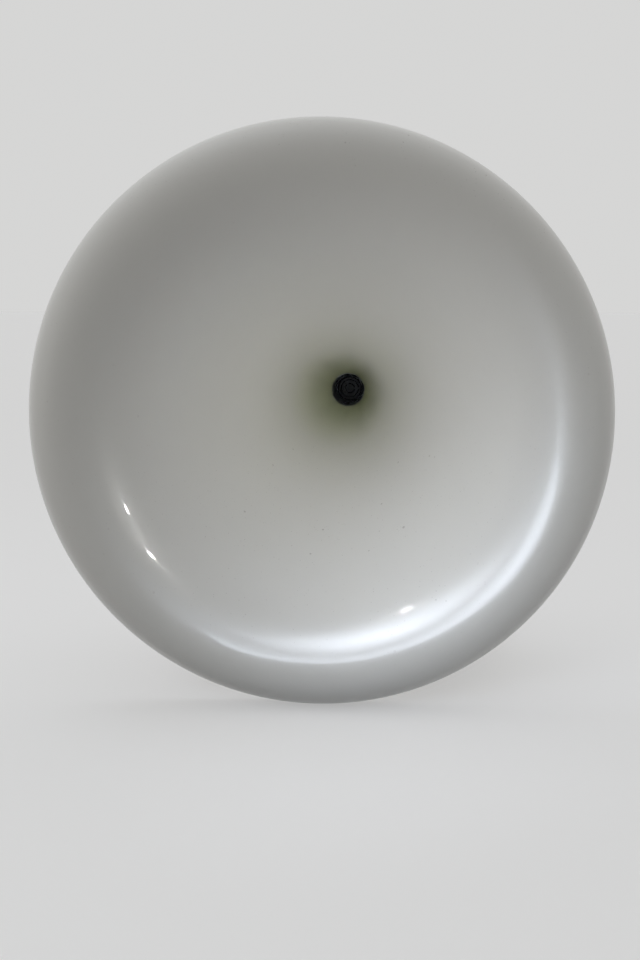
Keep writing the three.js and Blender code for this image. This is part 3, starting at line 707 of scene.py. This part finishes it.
def ping_pong(tree, value):
    """The value folded to run from 0 to 1 and back, over and over."""
    node = add(tree, "ShaderNodeMath", {"operation": "PINGPONG"})
    put(tree, node.inputs[0], value)
    node.inputs[1].default_value = 1.0
    return node.outputs["Value"]


def birch_plywood():
    """Lacquered plywood: veneer grain along X on the faces, plies with their glue lines at the edges."""
    made, tree, shader = material("birch_plywood", Coat_Weight=0.25, Coat_Roughness=0.22)
    fine = noise(tree, 900.0, roughness=0.7, stretch=(0.03, 1.0, 1.0))
    broad = noise(tree, 34.0, detail=3.0, roughness=0.5, stretch=(0.1, 1.0, 1.0))
    year_rings = ping_pong(tree, times(tree, broad, 9.0))
    grain = plus(tree, times(tree, fine, 0.55), times(tree, year_rings, 0.3))
    face = mix(tree, remap(tree, grain, low=0.25, high=0.75), BIRCH_LIGHT, BIRCH_GRAIN)

    wander = times(tree, noise(tree, 30.0, detail=2.0), PLY_WANDER)
    height = plus(tree, along(tree, place_of(tree), "Z"), wander)
    turn = ping_pong(tree, math_of(tree, "DIVIDE", height, PLY))
    across = remap(tree, turn, low=0.46, high=0.54)
    pores = remap(tree, noise(tree, 2600.0, detail=3.0), low=0.35, high=0.65, to_low=0.75, to_high=1.15)
    end_grain = mix(tree, 1.0, BIRCH_END_GRAIN, pores, "MULTIPLY")
    plies = mix(tree, across, shaded(BIRCH_LIGHT, -0.12), end_grain)
    from_joint = math_of(tree, "ABSOLUTE", less(tree, turn, 0.5))
    glue = less(tree, 1.0, remap(tree, from_joint, low=0.03, high=0.09))
    plies = mix(tree, times(tree, glue, 0.75), plies, GLUE_LINE)

    flat = remap(tree, math_of(tree, "ABSOLUTE", facing_up(tree)), low=0.55, high=0.8)
    put(tree, shader.inputs["Base Color"], mix(tree, flat, plies, face))
    put(tree, shader.inputs["Roughness"], uneven(tree, 60.0, low=0.42, high=0.58))
    bump(tree, shader, fine, depth=0.05 * MM)
    return made


BIRCH = birch_plywood()


# Horn
def horn_shell():
    land_front = THROAT_Y + CLAMP_LAND_HALF
    land_rear = THROAT_Y - CLAMP_LAND_HALF
    bell_end = travel_to_forward(land_front + CLAMP_LAND_TAPER)
    neck_start = travel_to_forward(land_rear - CLAMP_LAND_TAPER)
    front = run_of(wall_at, travel_to_forward(NECK_FACE), CREST_TRAVEL, FRONT_POINTS)
    curl = run_of(wall_at, CREST_TRAVEL, LIP_TRAVEL, LIP_POINTS)[1:]
    curl_back = run_of(outer_at, LIP_TRAVEL, CREST_TRAVEL, LIP_BACK_POINTS)
    bell_back = run_of(outer_at, CREST_TRAVEL, bell_end, BELL_BACK_POINTS)[1:]
    clamp_land = [(CLAMP_LAND_RADIUS, THROAT_Y - land_front), (CLAMP_LAND_RADIUS, THROAT_Y - land_rear)]
    neck_back = run_of(outer_at, neck_start, travel_to_forward(NECK_TAPER_END), NECK_POINTS)
    neck_land = [(NECK_RADIUS, THROAT_Y - NECK_LAND_END), (NECK_RADIUS, THROAT_Y - NECK_FACE)]
    curl[-1] += (LIP_ROUNDING,)
    curl_back[0] += (LIP_ROUNDING,)
    outline = [*front, *curl, *curl_back, *bell_back, *clamp_land, *neck_back, *neck_land]
    bm = turned(outline, steps=SHELL_STEPS)
    paint_by_nearest(bm, *(run_of(at, 0, LIP_TRAVEL, PAINT_POINTS) for at in (wall_at, outer_at)))
    return mesh_piece("horn_shell", bm)


def paint_by_nearest(bm, *outlines):
    """Gives each face the material of the outline that it lies nearest to, in the outlines' order."""
    tree = KDTree(sum(map(len, outlines)))
    for index, outline in enumerate(outlines):
        for radius, y in outline:
            tree.insert((radius, y, 0), index)
    tree.balance()
    for face in bm.faces:
        centre = face.calc_center_median() - AXIS_POINT
        face.material_index = tree.find((hypot(centre.x, centre.z), centre.y, 0))[1]


def throat_flange():
    front, back = span_y("throat_flange")
    seat = THROAT_Y - NECK_FACE + SEAT_GAP
    bore_at_seat = wall_at(travel_to_forward(THROAT_Y - seat))[0]
    collar_inner = NECK_RADIUS + SEAT_GAP
    collar_outer = collar_inner + 6 * MM
    outer = radius_of("throat_flange")
    fillet = 3 * MM
    bm = turned([
        (THROAT_RADIUS, back), (bore_at_seat, seat), (collar_inner, seat), (collar_inner, front, 0.8 * MM),
        (collar_outer, front, 1.5 * MM), (collar_outer, seat, fillet), (outer, seat, 2 * MM),
        (outer, back, 1 * MM),
    ])
    cutter = holes(BOLT_HOLE, seat - OVERRUN, back + OVERRUN, BOLT_PLACES)
    return cut(mesh_piece("throat_flange", bm), cutter)


def flat_ring(node, inner, soft):
    """A ring as wide and as thick as this CAD node."""
    return mesh_piece(node, ring(inner, radius_of(node), *span_y(node), soft))


def hexagon(name, corner_radius, front, back, chamfer, both_ends=False):
    """A hexagon head or nut on the horn's axis, its corners turned down at the free ends."""
    land = HEX_LAND * corner_radius
    far_end = [(corner_radius, back - chamfer), (land, back)] if both_ends else [(corner_radius, back)]
    outline = [(0, front), (land, front), (corner_radius, front + chamfer), *far_end, (0, back)]
    piece = mesh_piece(name, turned(outline))
    return boolean(piece, "INTERSECT", hex_rod(corner_radius, front - OVERRUN, back + OVERRUN))


def hex_bolt(node, x, z):
    """A hexagon bolt that points to the back of the driver."""
    low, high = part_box(node)
    head_back = low.y + BOLT_HEAD
    piece = hexagon(node, (high.z - low.z) / 2, low.y, head_back, chamfer=0.8 * MM)
    join(piece, rod(BOLT_RADIUS, head_back - SEAT_GAP, high.y, soft=0.5 * MM))
    piece.data.transform(Matrix.Translation((x, 0, z)))
    return piece


def bolt_washer(node, x, z):
    bm = ring(BOLT_HOLE, radius_of(node), *span_y(node), soft=0.3 * MM, steps=SMALL_STEPS)
    return mesh_piece(node, shifted(bm, x=x, z=z))


# Driver
def driver_front_plate():
    front = span_y("driver_front_plate")[0]
    piece = flat_ring("driver_front_plate", inner=44.3 * MM, soft=0.9 * MM)
    return cut(piece, holes(BOLT_HOLE, front - OVERRUN, front + BOLT_HOLE_DEPTH, BOLT_PLACES))


def pole_piece():
    """The pole round its conical exit bore: a foot in the front plate, a core, and a tip in the coil."""
    front, back = span_y("pole_piece")
    foot_back = span_y("driver_front_plate")[1]
    tip_front = back - 12 * MM
    waist_y = span_y("phase_plug")[0] - SEAT_GAP
    foot = 44 * MM
    core = 41 * MM
    tip = 37 * MM
    plug_seat = 33 * MM
    waist = 20 * MM
    return mesh_piece("pole_piece", turned([
        (THROAT_RADIUS, front), (foot, front), (foot, foot_back), (core, foot_back), (core, tip_front),
        (tip, tip_front), (tip, back), (plug_seat, back), (waist, waist_y),
    ], soft=0.4 * MM))


def rear_plate():
    back = span_y("rear_plate")[1]
    clear = back + OVERRUN
    piece = flat_ring("rear_plate", inner=39.5 * MM, soft=0.9 * MM)
    cover_holes = holes(COVER_SCREW_HOLE, back - COVER_SCREW_HOLE_DEPTH, clear, COVER_SCREW_PLACES)
    diaphragm_holes = holes(
        RING_SCREW_HOLE, back - RING_SCREW_HOLE_DEPTH, clear, RING_SCREW_PLACES
    )
    return cut(piece, cover_holes, diaphragm_holes)


def rear_cover():
    front, back = span_y("rear_cover")
    inner = 61 * MM
    wall = 4 * MM
    corner = 14 * MM
    outer = inner + wall
    floor = back - wall
    flange_back = front + 6 * MM
    flange_radius = radius_of("rear_cover")
    bm = turned([
        (inner, front), (flange_radius, front, 0.6 * MM), (flange_radius, flange_back, 1.5 * MM),
        (outer, flange_back, 2 * MM), (outer, back, corner), (0, back), (0, floor),
        (inner, floor, corner - wall),
    ], segments=8)
    piece = mesh_piece("rear_cover", bm)
    screw_holes = holes(COVER_SCREW_HOLE, front - OVERRUN, flange_back + OVERRUN, COVER_SCREW_PLACES)
    lead_hole_radius = 3 * MM
    lead_hole_height = 36 * MM
    lead_hole = holes(lead_hole_radius, floor - OVERRUN, back + OVERRUN, [(0, lead_hole_height)])
    return cut(piece, screw_holes, lead_hole)


def socket_screw(node, x, z, shank_radius, socket=True):
    """A screw whose head is at the back of the driver, high with a hexagon socket or low and plain."""
    tip, top = span_y(node)
    head_radius = radius_of(node)
    head_height = head_radius * (SOCKET_HEAD if socket else PLAIN_HEAD)
    bearing = top - head_height
    piece = mesh_piece(node, turned([
        (0, tip), (shank_radius, tip, 0.4 * MM), (shank_radius, bearing), (head_radius, bearing, 0.2 * MM),
        (head_radius, top, 0.8 * MM), (0, top),
    ], steps=SMALL_STEPS))
    if socket:
        socket_floor = top - SOCKET_SHARE * head_height
        cut(piece, hex_rod(SOCKET_SHARE * head_radius, socket_floor, top + OVERRUN))
    piece.data.transform(Matrix.Translation((x, 0, z)))
    return piece


# Terminals
def terminal_block():
    """A block with a pocket for each push button."""
    low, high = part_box("terminal_block")
    piece = mesh_piece("terminal_block", block(low, high, soft=1.2 * MM))
    room = Vector((0.4 * MM, 0, 0.4 * MM))
    travel_room = Vector((0, 2.9 * MM, 0))
    pockets = []
    for node in ("push_terminal_red", "push_terminal_black"):
        button_low, button_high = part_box(node)
        pockets.append(block(button_low - room - travel_room, button_high + room))
    return cut(piece, together(pockets))


def push_terminal(node):
    """A button with a shallow hollow across it for the finger."""
    low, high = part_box(node)
    hollow_radius = 9 * MM
    hollow_depth = 0.9 * MM
    piece = mesh_piece(node, block(low, high, soft=1.0 * MM))
    finger = cross_rod(hollow_radius, low.x - OVERRUN, high.x + OVERRUN)
    y = high.y + hollow_radius - hollow_depth
    return cut(piece, shifted(finger, y=y, z=middle_of(node)[2] - AXIS_Z))


# Clamp
LINER = 3 * MM
CLAMP_RING = 12 * MM


def to_side(piece, side):
    """A piece made for the right, turned to the left where the side is -1."""
    if side < 0:
        piece.data.transform(HALF_TURN)
    return piece


def clamp_half(side):
    """Half of a split ring, with an ear at each end and a boss for the tilt stud."""
    low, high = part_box("clamp_half_right")
    half_width = high.y
    edge = low.x
    inner = CLAMP_LAND_RADIUS + 2 * SEAT_GAP + LINER
    outer = inner + CLAMP_RING
    boss_end = high.x
    boss_radius = 22 * MM
    ear_top = high.z - AXIS_Z
    ear_root = inner + 6 * MM
    ear_thickness = 12 * MM
    piece = mesh_piece("clamp_half", ring(inner, outer, -half_width, half_width, steps=SHELL_STEPS))
    other_low = (-2 * outer, -2 * half_width, AXIS_Z - 2 * outer)
    other_high = (edge, 2 * half_width, AXIS_Z + 2 * outer)
    cut(piece, block(other_low, other_high))
    for turn in (-1, 1):
        ends = sorted((AXIS_Z + turn * ear_root, AXIS_Z + turn * ear_top))
        ear = block((edge, -half_width, ends[0]), (edge + ear_thickness, half_width, ends[1]))
        join(piece, ear)
    join(piece, cross_rod(boss_radius, outer - 4 * MM, boss_end, steps=WIDE_STEPS))
    bevel(piece, width=1.6 * MM)
    cutters = [cross_rod(STUD_HOLE, boss_end - STUD_HOLE_DEPTH, boss_end + OVERRUN)]
    bolt_height = (outer + ear_top) / 2
    for turn in (-1, 1):
        hole = cross_rod(CLAMP_BOLT_HOLE, edge - OVERRUN, edge + ear_thickness + OVERRUN)
        cutters.append(shifted(hole, z=turn * bolt_height))
    return to_side(cut(piece, together(cutters)), side)


def clamp_liner():
    """A rubber strip round the neck, open at the top."""
    low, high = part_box("clamp_liner")
    inner = CLAMP_LAND_RADIUS + SEAT_GAP
    half_gap = 3 * MM
    bm = ring(inner, inner + LINER, low.y, high.y, soft=0.5 * MM, steps=SHELL_STEPS)
    split = block((-half_gap, 2 * low.y, AXIS_Z + inner / 2), (half_gap, 2 * high.y, AXIS_Z + 2 * inner))
    return cut(mesh_piece("clamp_liner", bm), split)


def laid_across(piece, node):
    """The piece turned to lie along X, at this node's height."""
    piece.data.transform(Matrix.Translation((0, 0, middle_of(node)[2] - AXIS_Z)) @ Y_TO_X)
    return piece


def clamp_bolt(node):
    low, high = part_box(node)
    head_end = low.x + CLAMP_BOLT_HEAD
    piece = hexagon(node, (high.z - low.z) / 2, low.x, head_end, chamfer=1 * MM)
    join(piece, rod(CLAMP_BOLT_RADIUS, head_end - SEAT_GAP, high.x, soft=0.8 * MM))
    return laid_across(piece, node)


def clamp_nut(node):
    low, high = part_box(node)
    piece = hexagon(node, (high.z - low.z) / 2, low.x, high.x, chamfer=1 * MM, both_ends=True)
    cut(piece, rod(CLAMP_BOLT_HOLE, low.x - OVERRUN, high.x + OVERRUN))
    return laid_across(piece, node)


# Stand
def friction_washer(side):
    low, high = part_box("friction_washer_right")
    bm = ring(STUD_HOLE, (high.z - low.z) / 2, low.x, high.x, soft=0.4 * MM)
    return to_side(mesh_piece("friction_washer", moved(bm, Y_TO_X)), side)


def knob(side):
    """A moulded knob with six lobes, its hub and its steel stud."""
    low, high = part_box("knob_right")
    lobes = 6
    lobe_points = 144
    lobe_depth = 4 * MM
    outer = 28 * MM
    grip_depth = 16 * MM
    hub_depth = 8 * MM
    hub_radius = 14 * MM
    dish_radius = 13 * MM
    dish_depth = 1.2 * MM
    face = high.x - grip_depth
    hub_face = face - hub_depth
    angles = [2 * pi * i / lobe_points for i in range(lobe_points)]
    radii = [outer - lobe_depth + lobe_depth * cos(lobes * angle) for angle in angles]
    star = [(radius * cos(angle), radius * sin(angle)) for radius, angle in zip(radii, angles)]
    grip = prism(star, grip_depth, soft=2.4 * MM, segments=4)
    moved(grip, Matrix.Translation((face, 0, AXIS_Z)) @ Matrix.Rotation(pi / 2, 4, "Y"))
    piece = mesh_piece("knob", grip)
    dish = cross_rod(dish_radius, high.x - dish_depth, high.x + OVERRUN, soft=0.5 * MM, steps=WIDE_STEPS)
    hub = cross_rod(hub_radius, hub_face, face + OVERRUN, soft=0.8 * MM, steps=WIDE_STEPS)
    stud = cross_rod(STUD_RADIUS, low.x, hub_face + OVERRUN, soft=0.8 * MM)
    cut(piece, dish)
    join(piece, hub, stud)
    return to_side(piece, side)


def foot_screw_holes(numbers, bottom, top):
    """Rods that cut the holes of the wood screws with these numbers, between two heights."""
    rods = []
    for number in numbers:
        x, y, _ = middle_of(f"upright_screw_{number}")
        rods.append(shifted(moved(rod(FOOT_SCREW_HOLE, bottom, top), Y_TO_Z), x=x, y=y))
    return rods


def upright(side):
    """A plate bent out into a foot, which narrows from the foot to a round head."""
    low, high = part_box("upright_right")
    gauge = 6 * MM
    bend = 10 * MM
    bend_steps = 12
    shoulder = low.z + 34 * MM
    head_radius = 32 * MM
    head_steps = 40
    half_length = high.y
    centre = low.x + gauge + bend
    bend_z = low.z + gauge + bend
    turns = evenly(0, pi / 2, bend_steps)
    inner_bend, outer_bend = (
        [(centre - radius * sin(turn), bend_z - radius * cos(turn)) for turn in turns]
        for radius in (bend, bend + gauge)
    )
    section = [
        (high.x, low.z), (high.x, low.z + gauge), *inner_bend, (low.x + gauge, high.z), (low.x, high.z),
        *outer_bend[::-1],
    ]
    bent = prism(section, 2 * half_length)
    stood_up = Matrix.Translation((0, half_length, 0)) @ Matrix.Rotation(pi / 2, 4, "X")
    piece = mesh_piece("upright", moved(bent, stood_up))

    rise = AXIS_Z - shoulder
    reach = hypot(half_length, rise)
    touch = pi / 2 - atan2(half_length, rise) - asin(head_radius / reach)
    angles = evenly(pi / 2 - touch, pi / 2 + touch, head_steps)
    head = [(head_radius * cos(a), AXIS_Z + head_radius * sin(a)) for a in angles]
    side_outline = [
        (-half_length, low.z - OVERRUN), (half_length, low.z - OVERRUN), (half_length, shoulder), *head,
        (-half_length, shoulder),
    ]
    plate = prism(side_outline, high.x - low.x + 2 * OVERRUN)
    moved(plate, Matrix.Rotation(pi / 2, 4, "Z") @ Matrix.Rotation(pi / 2, 4, "X"))
    boolean(piece, "INTERSECT", shifted(plate, x=low.x - OVERRUN))
    bevel(piece, width=0.7 * MM)
    stud_hole = cross_rod(STUD_HOLE, low.x - OVERRUN, low.x + gauge + OVERRUN)
    screw_holes = foot_screw_holes((4, 5, 6), low.z - OVERRUN, low.z + gauge + OVERRUN)
    return to_side(cut(piece, together([stud_hole, *screw_holes])), side)


def upright_screw(node):
    """A pan-head screw with a cross recess."""
    low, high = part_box(node)
    head_radius = (high.x - low.x) / 2
    bearing = high.z - 3.2 * MM
    point_top = low.z + 3 * MM
    bm = turned([
        (0, low.z), (FOOT_SCREW_RADIUS, point_top), (FOOT_SCREW_RADIUS, bearing),
        (head_radius, bearing, 0.2 * MM), (head_radius, high.z, 2.2 * MM), (0, high.z),
    ], steps=SMALL_STEPS, segments=6)
    piece = mesh_piece(node, moved(bm, Y_TO_Z))
    long = CROSS_LENGTH * head_radius
    short = CROSS_WIDTH * head_radius
    recess_floor = high.z - 1.8 * MM
    for x, y in ((long, short), (short, long)):
        cut(piece, block((-x, -y, recess_floor), (x, y, high.z + OVERRUN)))
    x, y, _ = middle_of(node)
    piece.data.transform(Matrix.Translation((x, y, 0)))
    return piece


def base_board():
    """A plywood board with rounded corners and a pilot hole for each wood screw."""
    low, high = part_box("base_board")
    corner = 18 * MM
    corner_steps = 10
    outline = []
    for turn, (x, y) in enumerate(((1, 1), (-1, 1), (-1, -1), (1, -1))):
        centre_x, centre_y = x * (high.x - corner), y * (high.y - corner)
        start = turn * pi / 2
        for angle in evenly(0, pi / 2, corner_steps):
            around = start + angle
            outline.append((centre_x + corner * cos(around), centre_y + corner * sin(around)))
    piece = mesh_piece("base_board", prism(outline, high.z - low.z, soft=1.2 * MM))
    screw_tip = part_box("upright_screw_1")[0].z
    pilots = foot_screw_holes(range(1, 7), screw_tip - SEAT_GAP, high.z + OVERRUN)
    return cut(piece, together(pilots))


GEL_COAT = gel_coat()
PAINTED_BACK = plain_back()
COVER_GASKET_INNER = 62 * MM
GASKET_EDGE = 0.2 * MM
MAGNET_INNER = 50 * MM
MAGNET_EDGE = 1.4 * MM

stand_in("horn_shell", horn_shell(), GEL_COAT, PAINTED_BACK)
stand_in("throat_flange", throat_flange(), CAST_ALUMINIUM)
stand_in("driver_gasket", flat_ring("driver_gasket", THROAT_RADIUS, GASKET_EDGE), GASKET_CARD)
for i, (x, z) in enumerate(BOLT_PLACES, 1):
    stand_in(f"driver_bolt_{i}", hex_bolt(f"driver_bolt_{i}", x, z), ZINC_STEEL)
    stand_in(f"bolt_washer_{i}", bolt_washer(f"bolt_washer_{i}", x, z), ZINC_STEEL)
stand_in("driver_front_plate", driver_front_plate(), TURNED_ZINC_STEEL)
stand_in("pole_piece", pole_piece(), TURNED_ZINC_STEEL)
stand_in("magnet_ring", flat_ring("magnet_ring", MAGNET_INNER, MAGNET_EDGE), FERRITE)
stand_in("rear_plate", rear_plate(), TURNED_ZINC_STEEL)
stand_in("cover_gasket", flat_ring("cover_gasket", COVER_GASKET_INNER, GASKET_EDGE), GASKET_CARD)
stand_in("rear_cover", rear_cover(), BLACK_CASTING)
for i, (x, z) in enumerate(COVER_SCREW_PLACES, 1):
    stand_in(f"cover_screw_{i}", socket_screw(f"cover_screw_{i}", x, z, COVER_SCREW_RADIUS), ZINC_STEEL)
for i, (x, z) in enumerate(RING_SCREW_PLACES, 1):
    screw = socket_screw(f"diaphragm_screw_{i}", x, z, RING_SCREW_RADIUS, socket=False)
    stand_in(f"diaphragm_screw_{i}", screw, ZINC_STEEL)
stand_in("terminal_block", terminal_block(), BLACK_PLASTIC)
stand_in("push_terminal_red", push_terminal("push_terminal_red"), RED_PLASTIC)
stand_in("push_terminal_black", push_terminal("push_terminal_black"), BLACK_PLASTIC)

for side, name in ((1, "right"), (-1, "left")):
    stand_in(f"clamp_half_{name}", clamp_half(side), CAST_ALUMINIUM)
    stand_in(f"friction_washer_{name}", friction_washer(side), RUBBER)
    stand_in(f"knob_{name}", knob(side), BLACK_PLASTIC)
    stand_in(f"upright_{name}", upright(side), POWDER_COAT)
stand_in("clamp_liner", clamp_liner(), RUBBER)
for i in (1, 2):
    stand_in(f"clamp_bolt_{i}", clamp_bolt(f"clamp_bolt_{i}"), ZINC_STEEL)
    stand_in(f"clamp_nut_{i}", clamp_nut(f"clamp_nut_{i}"), ZINC_STEEL)
for i in range(1, 7):
    stand_in(f"upright_screw_{i}", upright_screw(f"upright_screw_{i}"), ZINC_STEEL)
stand_in("base_board", base_board(), BIRCH)

KEPT_NODES = {
    "phase_plug": PLUG_BLACK,
    "diaphragm_dome": TITANIUM,
    "voice_coil": COPPER,
    "diaphragm_ring": PHENOLIC,
    "damping_pad": FELT,
    "lead_wire_red": RED_PLASTIC,
    "lead_wire_black": BLACK_PLASTIC,
}
for node, finish in KEPT_NODES.items():
    nodes[node].data.materials.clear()
    nodes[node].data.materials.append(finish)


# Floor and plinth
FLOOR_Z = RIM_BOTTOM - 4 * MM
FLOOR_REACH = 30
PLINTH_HALF_WIDTH = 142 * MM
PLINTH_HALF_DEPTH = 150 * MM
BOUNCE_TONE = grey(0.3)
STAGE_TONE = colour(0.5, 0.5, 0.495)
NO_GLOW = grey(0)
FLOOR_GLOW = 0.38
PLINTH_GLOW = 0.16


def seen_directly(tree):
    """1 to the camera and mirrors and through clear material, 0 to the light that bounces."""
    seen = add(tree, "ShaderNodeLightPath").outputs
    direct = math_of(tree, "MAXIMUM", seen["Is Camera Ray"], seen["Is Glossy Ray"])
    return math_of(tree, "MAXIMUM", direct, seen["Is Transmission Ray"])


def stage_material(name, glow):
    """A pale matt surface that the camera and mirrors see paler than it is, with the object's shadow."""
    made, tree, shader = material(name, Roughness=0.9, Emission_Strength=1.0)
    direct = seen_directly(tree)
    put(tree, shader.inputs["Base Color"], mix(tree, direct, BOUNCE_TONE, STAGE_TONE))
    put(tree, shader.inputs["Emission Color"], mix(tree, direct, NO_GLOW, grey(glow)))
    return made


def stage():
    bm = bmesh.new()
    bmesh.ops.create_grid(bm, x_segments=1, y_segments=1, size=FLOOR_REACH)
    floor = mesh_piece("floor", shifted(bm, z=FLOOR_Z))
    foot_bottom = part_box("base_board")[0].z
    low = (-PLINTH_HALF_WIDTH, -PLINTH_HALF_DEPTH, FLOOR_Z - OVERRUN)
    high = (PLINTH_HALF_WIDTH, PLINTH_HALF_DEPTH, foot_bottom)
    plinth = mesh_piece("plinth", block(low, high, soft=3 * MM))
    for thing, glow in ((floor, FLOOR_GLOW), (plinth, PLINTH_GLOW)):
        thing.data.materials.append(stage_material(thing.name, glow))


# Camera: metres from the mouth's centre, and degrees
CAMERA_RIGHT = 0.209
CAMERA_IN_FRONT = 2.382
CAMERA_ABOVE = 0.1775
LOOKS_DOWN = 6.35
LOOKS_LEFT = 4.98
SENSOR_WIDTH = 36
FOCAL_PIXELS = 1786
PICTURE_HEIGHT = 960


def camera():
    """The photograph's place: a little above the mouth's centre and to its right, looking down into it."""
    made = bpy.data.objects.new("camera", bpy.data.cameras.new("camera"))
    scene.collection.objects.link(made)
    made.location = (CAMERA_RIGHT, EQUATOR_Y - CAMERA_IN_FRONT, AXIS_Z + CAMERA_ABOVE)
    made.rotation_euler = (radians(90 - LOOKS_DOWN), 0, radians(LOOKS_LEFT))
    made.data.sensor_width = SENSOR_WIDTH
    made.data.lens = SENSOR_WIDTH * FOCAL_PIXELS / PICTURE_HEIGHT
    scene.camera = made


# Light: a place at the mouth is its azimuth seen from the front, its distance off the axis and in front
DAYLIGHT = (0.8, 0.87, 1.0)
NEUTRAL = (1.0, 0.99, 0.97)
FAR_TONE = colour(0.67, 0.67, 0.665)
WORLD_FRONT = 0.352
WORLD_BEHIND = 0.7
WORLD_LOW = 0.1
MOUTH_CENTRE = (0, 0, 0)
IN_THE_BELL = (0, 0, -0.3)
LIP_RADIUS = 0.314
LIP_ACROSS = (303, LIP_RADIUS, 0)
LAMP_DISTANCE = 2.6
SPOT_DISTANCE = 3.0
# Each spot's azimuth and degrees off the axis, and the azimuth of the lip that it is aimed at
SPOTS = ((126, 42, 303), (23, 37, 205), (40, 31, 215))


def at_mouth(azimuth, off_axis, in_front):
    turn = radians(azimuth)
    return Vector((off_axis * cos(turn), EQUATOR_Y - in_front, AXIS_Z + off_axis * sin(turn)))


def round_mouth(azimuth, degrees_off, distance=LAMP_DISTANCE):
    """A place at this distance from the mouth's centre, so many degrees off the horn's axis."""
    off = radians(degrees_off)
    return azimuth, distance * sin(off), distance * cos(off)


def lamp(name, place, aim, size, power, tint, spread=180, sheen=False):
    """A round area light that shines on the object or, for a sheen, only shows as a reflection in it."""
    light = bpy.data.lights.new(name, "AREA")
    light.shape = "DISK"
    light.size = size
    light.energy = power
    light.color = tint
    light.spread = radians(spread)
    made = bpy.data.objects.new(name, light)
    scene.collection.objects.link(made)
    made.location = at_mouth(*place)
    made.rotation_euler = (made.location - at_mouth(*aim)).to_track_quat("Z", "Y").to_euler()
    made.visible_glossy = sheen
    made.visible_diffuse = not sheen
    made.visible_camera = False


def world():
    """Dim in front of the mouth and pale behind the horn. The camera and mirrors see an even pale tone."""
    made = bpy.data.worlds.new("studio")
    scene.world = made
    made.use_nodes = True
    tree = made.node_tree
    direction = add(tree, "ShaderNodeTexCoord").outputs["Generated"]
    behind = remap(tree, along(tree, direction, "Y"), low=-0.25, high=0.35)
    above = remap(tree, along(tree, direction, "Z"), low=-0.1, high=0.5)
    by_side = remap(tree, behind, 0.0, 1.0, WORLD_FRONT, WORLD_BEHIND)
    light = times(tree, by_side, remap(tree, above, 0.0, 1.0, WORLD_LOW, 1.0))
    bounced = add(tree, "ShaderNodeCombineColor", Red=light, Green=light, Blue=light).outputs["Color"]
    tone = mix(tree, seen_directly(tree), bounced, FAR_TONE)
    put(tree, tree.nodes["Background"].inputs["Color"], tone)


stage()
camera()
world()

# Each lamp has its place, what it is aimed at, its width, its power and its tint
lamp("window", (134, 0.094, 1.0), LIP_ACROSS, 0.55, 0.26, DAYLIGHT, spread=40)
lamp("window_sheen_upper", (120, 0.1, 0.8), LIP_ACROSS, 0.6, 0.58, DAYLIGHT, spread=36, sheen=True)
lamp("window_sheen_lower", (285, 0.4, 0.8), LIP_ACROSS, 0.6, 0.5, DAYLIGHT, spread=36, sheen=True)
lamp("side", round_mouth(170, 75), MOUTH_CENTRE, 1.6, 6.5, NEUTRAL)
lamp("rim", round_mouth(112, 100), MOUTH_CENTRE, 1.2, 5.5, DAYLIGHT)
lamp("bowl", round_mouth(0, 10), IN_THE_BELL, 0.4, 0.15, NEUTRAL, spread=14)
for i, (azimuth, degrees_off, lip_azimuth) in enumerate(SPOTS, 1):
    place = round_mouth(azimuth, degrees_off, SPOT_DISTANCE)
    lip = (lip_azimuth, LIP_RADIUS, 0)
    lamp(f"ceiling_spot_{i}", place, lip, 0.1, 0.05, NEUTRAL, spread=15, sheen=True)
scene.view_settings.view_transform = "Standard"
